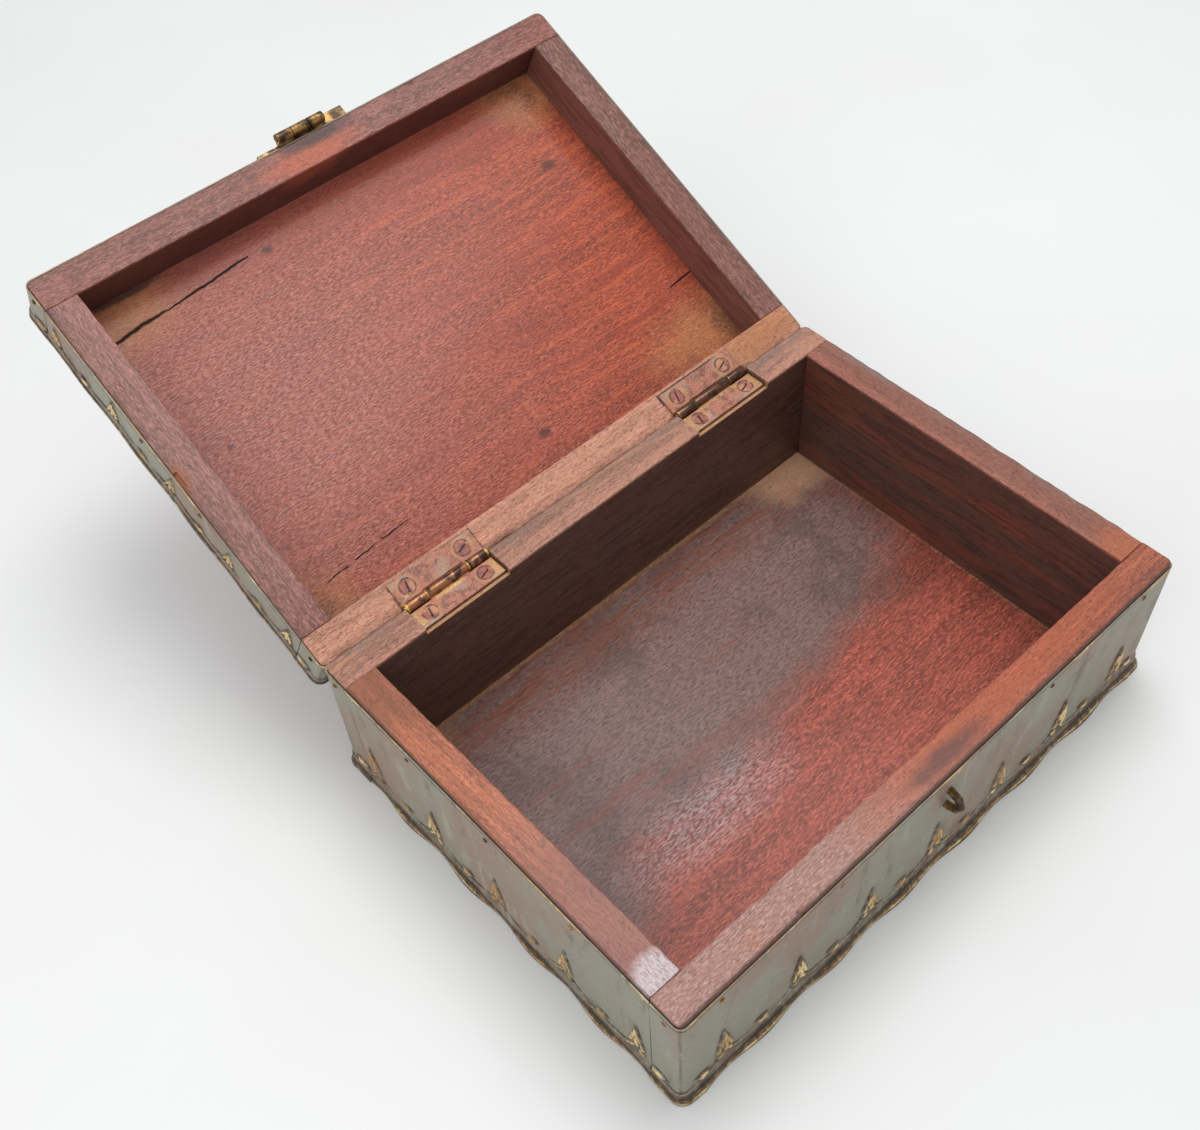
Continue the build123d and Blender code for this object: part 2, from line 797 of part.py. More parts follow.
# Fixed plate of the hasp, tacked to the front of the lid, with two outer knuckles below its edge
hasp_knuckle_end = hasp_barrel_length / 2
hasp_knuckle_start = hasp_middle_knuckle / 2 + knuckle_gap
hasp_plate_front = -half_depth - sheet_thickness - hasp_plate_thickness
hasp_plate_back = -half_depth - sheet_thickness
with BuildPart() as hasp_plate:
    add(
        block(
            -hasp_plate_half_width,
            hasp_plate_half_width,
            hasp_plate_front,
            hasp_plate_back,
            lid_sheet_foot,
            lid_sheet_foot + hasp_plate_height,
        )
    )
    add(
        block(
            hasp_plate_half_width - hasp_tab_width,
            hasp_plate_half_width,
            hasp_plate_back - hasp_tab_reach,
            hasp_plate_back,
            lid_sheet_foot,
            lid_sheet_foot + hasp_plate_thickness,
        )
    )
    for start, end in ((-hasp_knuckle_end, -hasp_knuckle_start), (hasp_knuckle_start, hasp_knuckle_end)):
        with BuildSketch(Plane.YZ.offset(start)):
            with BuildLine():
                Polyline(
                    (hasp_plate_front, lid_sheet_foot + 2 * hasp_plate_thickness),
                    (hasp_axis_y - barrel_radius * 0.3, hasp_axis_z + barrel_radius * 0.8),
                    (hasp_axis_y + barrel_radius * 0.6, hasp_axis_z + barrel_radius * 0.3),
                    (hasp_plate_back, lid_sheet_foot),
                    (hasp_plate_back, lid_sheet_foot + 2 * hasp_plate_thickness),
                    close=True,
                )
            make_face()
        extrude(amount=end - start)
        add(rod(barrel_radius, start, end, hasp_axis_y, hasp_axis_z))
    add(rod(hasp_pin_radius, -box_width, box_width, hasp_axis_y, hasp_axis_z), mode=Mode.SUBTRACT)
    with Locations(*hasp_tack_places):
        add(tack_hole(), mode=Mode.SUBTRACT)

# Two tacks through the fixed plate
with BuildPart() as hasp_plate_tacks:
    with Locations(*hasp_tack_places):
        add(tack())

# Pin of the hasp
with BuildPart() as hasp_pin:
    half_hasp_pin = hasp_knuckle_end + pin_end_length
    add(rod(hasp_pin_radius, -half_hasp_pin, half_hasp_pin, hasp_axis_y, hasp_axis_z))

# Swinging tongue of the hasp, folded up against the front of the lid; its slot fits over the staple
tongue_face = hasp_axis_y - barrel_radius
slot_length = staple_leg_spacing + 2 * staple_wire_radius + 2 * tongue_slot_play
slot_centre = hasp_axis_z + (hasp_axis_z - staple_centre_z)
with BuildPart() as hasp_tongue:
    half_knuckle = hasp_middle_knuckle / 2
    tongue_plane = Plane(origin=(0, tongue_face, hasp_axis_z), x_dir=(1, 0, 0), z_dir=(0, -1, 0))
    with BuildSketch(tongue_plane.offset(-tongue_thickness)):
        with Locations((0, tongue_neck)):
            Rectangle(2 * half_knuckle, 2 * tongue_neck)
        with Locations((0, (tongue_neck + tongue_length) / 2)):
            RectangleRounded(tongue_width, tongue_length - tongue_neck, tongue_end_radius)
        with Locations((0, slot_centre - hasp_axis_z)):
            SlotOverall(slot_length, tongue_slot_width, rotation=90, mode=Mode.SUBTRACT)
    extrude(amount=tongue_thickness)
    add(rod(barrel_radius, -half_knuckle, half_knuckle, hasp_axis_y, hasp_axis_z))
    add(
        rod(hasp_pin_radius + pin_running_clearance, -box_width, box_width, hasp_axis_y, hasp_axis_z),
        mode=Mode.SUBTRACT,
    )

base_pieces = {
    "base_front_board": base_front_board,
    "base_back_board": base_back_board,
    "base_left_board": base_left_board,
    "base_right_board": base_right_board,
    "base_bottom_board": base_bottom_board,
    "base_front_sheet": base_front_sheet,
    "base_back_sheet": base_back_sheet,
    "base_left_sheet": base_left_sheet,
    "base_right_sheet": base_right_sheet,
    "base_sheet_tacks": base_sheet_tacks,
    "hinge_left_base_plate": hinge_left_base_plate,
    "hinge_right_base_plate": hinge_right_base_plate,
    "hinge_left_pin": hinge_left_pin,
    "hinge_right_pin": hinge_right_pin,
    "base_hinge_screws": base_hinge_screws,
    "base_staple": base_staple,
}
lid_pieces = {
    "lid_front_rail": lid_front_rail,
    "lid_back_rail": lid_back_rail,
    "lid_left_rail": lid_left_rail,
    "lid_right_rail": lid_right_rail,
    "lid_panel": lid_panel,
    "lid_front_sheet": lid_front_sheet,
    "lid_back_sheet": lid_back_sheet,
    "lid_left_sheet": lid_left_sheet,
    "lid_right_sheet": lid_right_sheet,
    "lid_sheet_tacks": lid_sheet_tacks,
    "hinge_left_lid_plate": hinge_left_lid_plate,
    "hinge_right_lid_plate": hinge_right_lid_plate,
    "lid_hinge_screws": lid_hinge_screws,
    "hasp_plate": hasp_plate,
    "hasp_plate_tacks": hasp_plate_tacks,
    "hasp_pin": hasp_pin,
    "hasp_tongue": hasp_tongue,
}

# The base stays as drawn; everything on the lid swings back with it
os.makedirs("parts", exist_ok=True)
for name, piece in base_pieces.items():
    shape = piece.part
    shape.label = name
    export_step(shape, "parts/" + name + ".step")
for name, piece in lid_pieces.items():
    shape = swing_open(piece.part)
    shape.label = name
    export_step(shape, "parts/" + name + ".step")
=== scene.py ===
import math
import random

import bmesh
import bpy
import numpy as np
from mathutils import Matrix, Vector


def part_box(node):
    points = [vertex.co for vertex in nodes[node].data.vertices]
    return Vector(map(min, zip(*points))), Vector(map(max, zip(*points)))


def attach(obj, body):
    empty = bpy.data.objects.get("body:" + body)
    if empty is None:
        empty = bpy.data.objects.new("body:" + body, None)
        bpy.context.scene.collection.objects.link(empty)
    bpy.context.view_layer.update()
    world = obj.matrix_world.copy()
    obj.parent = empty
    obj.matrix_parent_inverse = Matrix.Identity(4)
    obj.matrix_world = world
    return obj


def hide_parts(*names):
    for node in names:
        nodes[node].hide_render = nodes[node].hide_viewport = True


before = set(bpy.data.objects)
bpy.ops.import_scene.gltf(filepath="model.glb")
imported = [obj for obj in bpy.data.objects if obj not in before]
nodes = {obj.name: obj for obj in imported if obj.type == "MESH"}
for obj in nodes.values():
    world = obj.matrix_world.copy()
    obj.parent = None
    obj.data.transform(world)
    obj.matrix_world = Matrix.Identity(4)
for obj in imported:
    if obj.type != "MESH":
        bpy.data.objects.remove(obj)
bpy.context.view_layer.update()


# Base walls. Four boards of reddish hardwood, 13 mm thick, the long pair running full width with
# the short pair butted between them. They are stained red, varnished by hand and long handled,
# so the rims have gone orange and grey where the varnish wore off.

def put(tree, kind, inputs=None, **settings):
    """Adds one shader node, with its settings and with its inputs set or joined."""
    node = tree.nodes.new("ShaderNode" + kind)
    for name, value in settings.items():
        setattr(node, name, value)
    for name, value in (inputs or {}).items():
        socket = node.inputs[name]
        if isinstance(value, bpy.types.NodeSocket):
            tree.links.new(value, socket)
        else:
            socket.default_value = value
    return node


def tint(red, green, blue):
    """A colour picked on a screen, as the linear colour that a shader takes."""
    return tuple(((part / 255 + 0.055) / 1.055) ** 2.4 for part in (red, green, blue)) + (1.0,)


def new_effect(name, inputs, outputs):
    """An empty shader group with named inputs (kind, start value) and outputs (kind)."""
    group = bpy.data.node_groups.new(name, "ShaderNodeTree")
    for label, (kind, start) in inputs.items():
        socket = group.interface.new_socket(label, in_out="INPUT", socket_type="NodeSocket" + kind)
        socket.default_value = start
    for label, kind in outputs.items():
        group.interface.new_socket(label, in_out="OUTPUT", socket_type="NodeSocket" + kind)
    return group, group.nodes.new("NodeGroupInput").outputs, group.nodes.new("NodeGroupOutput").inputs


def math_of(tree, operation, first, second=0.5, clamp=False):
    return put(tree, "Math", {0: first, 1: second}, operation=operation, use_clamp=clamp).outputs[0]


def times(tree, first, second, clamp=False):
    return math_of(tree, "MULTIPLY", first, second, clamp)


def plus(tree, first, second, clamp=False):
    return math_of(tree, "ADD", first, second, clamp)


def minus(tree, first, second, clamp=False):
    return math_of(tree, "SUBTRACT", first, second, clamp)


def size_of(tree, value):
    return math_of(tree, "ABSOLUTE", value)


def vector_of(tree, operation, first, second):
    return put(tree, "VectorMath", {0: first, 1: second}, operation=operation).outputs[0]


def between(tree, value, low, high):
    """0 below low, 1 above high, with soft ends."""
    settings = {"Value": value, "From Min": low, "From Max": high}
    return put(tree, "MapRange", settings, interpolation_type="SMOOTHSTEP").outputs[0]


def noise_of(tree, where, scale, detail=4.0, rough=0.55):
    settings = {"Vector": where, "Scale": scale, "Detail": detail, "Roughness": rough}
    return put(tree, "TexNoise", settings).outputs[0]


def over(tree, under, mask, colour):
    """Lays a colour over another where the mask is white."""
    return put(tree, "Mix", {0: mask, 6: under, 7: colour}, data_type="RGBA").outputs[2]


def new_finish(name):
    """A new material, its node tree and its shader."""
    material = bpy.data.materials.new(name)
    material.use_nodes = True
    return material, material.node_tree, material.node_tree.nodes["Principled BSDF"]


def add_object(name, data):
    """Puts a mesh, a lamp or a camera into the scene."""
    piece = bpy.data.objects.new(name, data)
    bpy.context.scene.collection.objects.link(piece)
    return piece


# Open-pored grain, drawn along X of the vector it is given.
grain, given, gives = new_effect(
    "open grain",
    {"Vector": ("Vector", (0, 0, 0)), "Fineness": ("Float", 1.0)},
    {"Figure": "Float", "Streak": "Float", "Fibre": "Float", "Pores": "Float"},
)
drift = put(grain, "TexNoise", {"Vector": given["Vector"], "Scale": 11.0, "Detail": 2.0})
warped = vector_of(grain, "MULTIPLY", drift.outputs["Color"], (0.012, 0.012, 0.012))
bent = vector_of(grain, "ADD", given["Vector"], warped)
sized = put(grain, "VectorMath", {0: bent, "Scale": given["Fineness"]}, operation="SCALE").outputs[0]
longest = vector_of(grain, "MULTIPLY", sized, (0.045, 1.0, 1.0))
longer = vector_of(grain, "MULTIPLY", sized, (0.075, 1.0, 1.0))
shorter = vector_of(grain, "MULTIPLY", sized, (0.16, 1.0, 1.0))
grain.links.new(noise_of(grain, longest, 85.0, 5.0, 0.6), gives["Figure"])
grain.links.new(noise_of(grain, longer, 480.0, 4.0, 0.62), gives["Streak"])
grain.links.new(noise_of(grain, shorter, 1700.0, 3.0, 0.6), gives["Fibre"])
grain.links.new(between(grain, noise_of(grain, shorter, 3300.0, 1.0, 0.4), 0.61, 0.70), gives["Pores"])

# A ragged patch with a soft border: a stain, a worn place or a bloom of dust.
patch, given, gives = new_effect(
    "ragged patch",
    {
        "Vector": ("Vector", (0, 0, 0)),
        "Centre": ("Vector", (0, 0, 0)),
        "Reach": ("Vector", (1, 1, 1)),
        "Softness": ("Float", 0.3),
        "Raggedness": ("Float", 0.4),
    },
    {"Mask": "Float"},
)
share = vector_of(patch, "DIVIDE", vector_of(patch, "SUBTRACT", given["Vector"], given["Centre"]),
                  given["Reach"])
away = put(patch, "VectorMath", {0: share}, operation="LENGTH").outputs["Value"]
border = minus(patch, noise_of(patch, given["Vector"], 60.0, 8.0, 0.7), 0.5)
torn = times(patch, times(patch, border, given["Raggedness"]), 4.0)
depth = minus(patch, 1.0, plus(patch, away, torn))
patch.links.new(
    plus(patch, math_of(patch, "DIVIDE", depth, given["Softness"]), 0.5, clamp=True), gives["Mask"]
)

# Scuffs of old hand-laid varnish: pale flecks, pin spots, clouds, and fine wrinkles in the coat.
scuffs, given, gives = new_effect(
    "scuffed varnish",
    {"Vector": ("Vector", (0, 0, 0)), "Amount": ("Float", 0.5)},
    {"Pale": "Float", "Dark": "Float", "Cloud": "Float", "Wrinkle": "Float"},
)
flecks = noise_of(scuffs, given["Vector"], 900.0, 4.0, 0.75)
low = minus(scuffs, 0.78, times(scuffs, given["Amount"], 0.24))
pale = times(scuffs, minus(scuffs, flecks, low), 9.0, clamp=True)
scuffs.links.new(pale, gives["Pale"])
spots = noise_of(scuffs, given["Vector"], 520.0, 3.0, 0.6)
scuffs.links.new(between(scuffs, spots, 0.60, 0.70), gives["Dark"])
scuffs.links.new(between(scuffs, noise_of(scuffs, given["Vector"], 30.0, 7.0, 0.68), 0.38, 0.66),
                 gives["Cloud"])
drawn = vector_of(scuffs, "MULTIPLY", given["Vector"], (0.24, 1.0, 1.0))
scuffs.links.new(noise_of(scuffs, drawn, 1750.0, 4.0, 0.82), gives["Wrinkle"])

# A crack or an open joint: a thin wandering line from one point to another.
crack, given, gives = new_effect(
    "crack",
    {
        "Vector": ("Vector", (0, 0, 0)),
        "Start": ("Vector", (0, 0, 0)),
        "End": ("Vector", (1, 0, 0)),
        "Width": ("Float", 0.0004),
        "Wander": ("Float", 0.002),
    },
    {"Mask": "Float"},
)
swerve = put(crack, "TexNoise", {"Vector": given["Vector"], "Scale": 95.0, "Detail": 5.0, "Roughness": 0.65})
swerve = vector_of(crack, "SUBTRACT", swerve.outputs["Color"], (0.5, 0.5, 0.5))
swerve = put(crack, "VectorMath", {0: swerve, "Scale": given["Wander"]}, operation="SCALE").outputs[0]
spot = vector_of(crack, "ADD", vector_of(crack, "SUBTRACT", given["Vector"], given["Start"]), swerve)
line = vector_of(crack, "SUBTRACT", given["End"], given["Start"])
along = put(crack, "VectorMath", {0: spot, 1: line}, operation="DOT_PRODUCT").outputs["Value"]
whole = put(crack, "VectorMath", {0: line, 1: line}, operation="DOT_PRODUCT").outputs["Value"]
reach = math_of(crack, "DIVIDE", along, whole, clamp=True)
foot = put(crack, "VectorMath", {0: line, "Scale": reach}, operation="SCALE").outputs[0]
gap = put(crack, "VectorMath", {0: spot, 1: foot}, operation="DISTANCE").outputs["Value"]
taper = times(crack, reach, minus(crack, 1.0, reach))
wide = times(crack, given["Width"], plus(crack, math_of(crack, "POWER", taper, 0.35), 0.25))
crack.links.new(minus(crack, 1.6, math_of(crack, "DIVIDE", gap, wide), clamp=True), gives["Mask"])

LID_OPEN = math.radians(153.4)
HINGE_Y, HINGE_Z = 90.2, 62.75
HINGE_AXIS = (0.0, HINGE_Y / 1000, HINGE_Z / 1000)


class Board:
    """A varnished board's material while it is being made up, one coat after another."""

    def __init__(self, name, grain_along="X", on_lid=False, fineness=1.0, shift=0.0, amount=0.5):
        self.material, self.tree, self.shader = new_finish(name)
        where = put(self.tree, "TexCoord").outputs["Object"]
        if on_lid:
            turned = {"Vector": where, "Center": HINGE_AXIS, "Angle": LID_OPEN}
            where = put(self.tree, "VectorRotate", turned, rotation_type="X_AXIS").outputs[0]
        self.where = where
        along = where
        if grain_along == "Y":
            along = put(self.tree, "VectorRotate", {"Vector": where, "Angle": math.pi / 2},
                        rotation_type="Z_AXIS")
            along = along.outputs[0]
        if shift:
            along = vector_of(self.tree, "ADD", along, (shift, shift, 0))
        self.grain = self.effect(grain, {"Vector": along, "Fineness": fineness})
        self.scuff = self.effect(scuffs, {"Vector": along, "Amount": amount})
        self.sunk = None
        self.gloss = None

    def effect(self, group, inputs):
        return put(self.tree, "Group", inputs, node_tree=group).outputs

    def patch(self, centre, reach, softness=0.5, raggedness=0.35):
        inputs = {"Vector": self.where, "Centre": centre, "Reach": reach}
        return self.effect(patch, {**inputs, "Softness": softness, "Raggedness": raggedness})["Mask"]

    def ground(self, colour):
        self.colour = put(self.tree, "RGB").outputs[0]
        self.colour.default_value = tint(*colour)

    def coat(self, colour, *masks, strength=1.0):
        """Lays one more coat where all its masks are white."""
        mask = masks[0]
        for other in masks[1:]:
            mask = times(self.tree, mask, other)
        if strength != 1.0:
            mask = times(self.tree, mask, strength)
        self.colour = over(self.tree, self.colour, mask, tint(*colour))

    def shown(self, layer, low, high):
        """A mask from one layer of the grain or of the scuffs."""
        layers = self.grain if layer in ("Figure", "Streak", "Fibre", "Pores") else self.scuff
        return between(self.tree, layers[layer], low, high)

    def split(self, start, end, width=0.0004, wander=0.002):
        """A crack in the wood: dark, and cut into the surface."""
        inputs = {"Vector": self.where, "Start": start, "End": end, "Width": width, "Wander": wander}
        mask = self.effect(crack, inputs)["Mask"]
        self.coat((20, 9, 6), mask, strength=0.97)
        self.sunk = mask if self.sunk is None else math_of(self.tree, "MAXIMUM", self.sunk, mask)

    def finish(self, low_gloss, high_gloss, relief=0.0005, coat=0.22):
        tree = self.tree
        dull = put(tree, "MapRange",
                   {"Value": self.scuff["Cloud"], "To Min": low_gloss, "To Max": high_gloss})
        rough = plus(tree, dull.outputs[0], times(tree, self.grain["Pores"], 0.15))
        if self.gloss is not None:
            rough = put(tree, "Mix", {0: self.gloss, 2: rough, 3: 0.2}, data_type="FLOAT").outputs[0]
        if self.sunk is not None:
            rough = plus(tree, rough, self.sunk, clamp=True)
            left_over = times(tree, minus(tree, 1.0, self.sunk), coat)
            tree.links.new(left_over, self.shader.inputs["Coat Weight"])
        tree.links.new(rough, self.shader.inputs["Roughness"])
        tree.links.new(self.colour, self.shader.inputs["Base Color"])
        self.shader.inputs["Coat Weight"].default_value = coat
        self.shader.inputs["Coat Roughness"].default_value = 0.18
        height = plus(tree, self.scuff["Wrinkle"], times(tree, self.grain["Fibre"], 0.8))
        height = minus(tree, height, times(tree, self.grain["Pores"], 0.4))
        if self.sunk is not None:
            height = minus(tree, height, times(tree, self.sunk, 2.0))
        bump = put(tree, "Bump", {"Height": height, "Distance": relief, "Strength": 1.0})
        tree.links.new(bump.outputs[0], self.shader.inputs["Normal"])
        return self.material


def red_stained(name, ground=(150, 70, 48), wrinkle_shading=1.0, **choices):
    """The stained, varnished hardwood that all the boards start from."""
    board = Board(name, **choices)
    board.ground(ground)
    deep = tuple(round(part * 0.66) for part in ground)
    light = tuple(min(255, round(part * 1.18 + 6)) for part in ground)
    board.coat(deep, board.shown("Figure", 0.40, 0.60), strength=0.55)
    board.coat(light, board.shown("Streak", 0.50, 0.70), strength=0.6)
    board.coat(deep, board.shown("Streak", 0.48, 0.32), strength=0.6)
    board.coat((70, 32, 24), board.grain["Pores"], strength=0.3)
    board.coat(light, board.shown("Fibre", 0.56, 0.70), strength=0.5)
    # painted highlights on the tops of the wrinkles and painted shade in their hollows
    glint = tuple(min(255, round(part * 1.16 + 28)) for part in ground)
    board.coat(glint, board.shown("Wrinkle", 0.52, 0.58), strength=0.6 * wrinkle_shading)
    board.coat(deep, board.shown("Wrinkle", 0.47, 0.41), strength=0.85 * wrinkle_shading)
    return board


def ease_edges(node, width=0.00035):
    """Takes the sharpness off the edges of a piece that came with the frame."""
    weld = node.modifiers.new("weld", "WELD")
    weld.merge_threshold = 1e-6
    ease = node.modifiers.new("ease", "BEVEL")
    ease.width = width
    ease.segments = 2
    ease.limit_method = "ANGLE"
    ease.angle_limit = math.radians(40)


def finish_with(node, material):
    """Gives a piece that came with the frame its own finish."""
    node.data.materials.clear()
    node.data.materials.append(material)
    ease_edges(node)


def worn_board(name, low, high, direction, corner_wear, seed):
    """A board between two corners in millimetres, whose long edges are rubbed round unevenly.
    corner_wear is the rounding of its four long edges: outer top, inner top, inner foot, outer foot."""
    chance = random.Random(seed)
    length_axis = 0 if direction == "X" else 1
    cross_axis = 1 - length_axis
    start, end = low[length_axis], high[length_axis]
    ends = np.array([0.0, 0.3, 0.8, 1.5])
    stations = np.concatenate([start + ends, np.arange(start + 2.5, end - 2.5, 1.6), (end - ends)[::-1]])
    corner_round = 2.5 if direction == "X" else 0.0
    waves = [[(chance.uniform(0.02, 0.9), chance.uniform(0, math.tau)) for _ in range(9)] for _ in range(4)]
    nicks = [[(chance.uniform(start, end), chance.uniform(1.0, 3.5), chance.random()) for _ in range(9)]
             for _ in range(4)]
    middle = (low[cross_axis] + high[cross_axis]) / 2
    outer_sign = -1 if middle < 0 else 1
    outer = high[cross_axis] if outer_sign > 0 else low[cross_axis]
    inner = low[cross_axis] if outer_sign > 0 else high[cross_axis]
    corners = [(outer, high[2]), (inner, high[2]), (inner, low[2]), (outer, low[2])]
    rings = []
    for number, place in enumerate(stations):
        inset = 0.45 if number in (0, len(stations) - 1) else 0.0
        ring = []
        short = max(0.0, corner_round - min(place - start, end - place))
        drawn_in = corner_round - math.sqrt(corner_round ** 2 - short ** 2)
        for k, (across, level) in enumerate(corners):
            wear = corner_wear[k]
            wobble = sum(math.sin(place * pace + phase) for pace, phase in waves[k]) / 9
            rounding = wear * (0.75 + 0.9 * wobble)
            for spot, width, deep in nicks[k]:
                rounding += wear * 1.1 * deep * math.exp(-(((place - spot) / width) ** 2))
            rounding = max(0.12, rounding) + inset
            toward = 1 if across == min(outer, inner) else -1
            if across == outer:
                across += toward * drawn_in
            upward = 1 if level == low[2] else -1
            steps = [0.0, 0.3, 0.7, 1.0]
            arc = []
            for step in steps:
                turn = step * math.pi / 2
                arc.append((across + toward * (inset + rounding * (1 - math.sin(turn))),
                            level + upward * (inset + rounding * (1 - math.cos(turn)))))
            if k % 2 == 0:
                arc.reverse()
            ring += arc
        rings.append(ring)
    points = []
    for place, ring in zip(stations, rings):
        for across, level in ring:
            spot = [0, 0, level / 1000]
            spot[length_axis], spot[cross_axis] = place / 1000, across / 1000
            points.append(spot)
    size = len(rings[0])
    faces = []
    for station in range(len(rings) - 1):
        for k in range(size):
            after = (k + 1) % size
            faces.append((station * size + k, station * size + after,
                          (station + 1) * size + after, (station + 1) * size + k))
    faces.append(tuple(range(size)))
    faces.append(tuple((len(rings) - 1) * size + k for k in reversed(range(size))))
    mesh = bpy.data.meshes.new(name)
    mesh.from_pydata(points, [], faces)
    mesh.validate()
    work = bmesh.new()
    work.from_mesh(mesh)
    bmesh.ops.recalc_face_normals(work, faces=work.faces)
    work.to_mesh(mesh)
    work.free()
    mesh.shade_smooth()
    mesh.set_sharp_from_angle(angle=math.radians(32))
    return add_object(name, mesh)


def cut_away(piece, low, high, rounded=False, turned=0.0):
    """Cuts a block, or a round bar lying along X, out of a board."""
    work = bmesh.new()
    if rounded:
        bmesh.ops.create_cone(work, cap_ends=True, segments=24, radius1=0.5, radius2=0.5, depth=1.0,
                              matrix=Matrix.Rotation(math.pi / 2, 4, "Y"))
    else:
        bmesh.ops.create_cube(work, size=1.0)
    middle = [(a + b) / 2000 for a, b in zip(low, high)]
    size = [(b - a) / 1000 for a, b in zip(low, high)]
    bmesh.ops.transform(work, matrix=Matrix.Diagonal((*size, 1)), verts=work.verts)
    placed = Matrix.Translation(middle) @ Matrix.Rotation(turned, 4, "Y")
    bmesh.ops.transform(work, matrix=placed, verts=work.verts)
    cutter_mesh = bpy.data.meshes.new("cutter")
    work.to_mesh(cutter_mesh)
    work.free()
    cutter = add_object("cutter", cutter_mesh)
    cut = piece.modifiers.new("cut", "BOOLEAN")
    cut.operation = "DIFFERENCE"
    cut.solver = "EXACT"
    cut.object = cutter
    bpy.context.view_layer.update()
    shaped = bpy.data.meshes.new_from_object(piece.evaluated_get(bpy.context.evaluated_depsgraph_get()))
    piece.modifiers.clear()
    old, piece.data = piece.data, shaped
    bpy.data.meshes.remove(old)
    bpy.data.objects.remove(cutter)
    bpy.data.meshes.remove(cutter_mesh)
    piece.data.name = piece.name


def set_in_place(piece, material, node, body):
    """Gives a piece its finish, evens its shading and lets it stand for its node."""
    piece.data.materials.clear()
    piece.data.materials.append(material)
    even = piece.modifiers.new("even shading", "WEIGHTED_NORMAL")
    even.keep_sharp = True
    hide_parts(node)
    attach(piece, body)


HINGE_X, HINGE_HALF, KNUCKLE_ROOM = 69.2, 19.75, 2.45
RIM_LEVEL = 0.064


def let_in_hinges(board, bottom, top):
    """Cuts the room for both hinges, between two levels for the plates and round for the knuckles."""
    for middle in (-HINGE_X, HINGE_X):
        left, right = middle - HINGE_HALF, middle + HINGE_HALF
        cut_away(board, (left, 70, bottom), (right, 100, top))
        cut_away(board, (left, HINGE_Y - KNUCKLE_ROOM, HINGE_Z - KNUCKLE_ROOM),
                 (right, HINGE_Y + KNUCKLE_ROOM, HINGE_Z + KNUCKLE_ROOM), rounded=True)


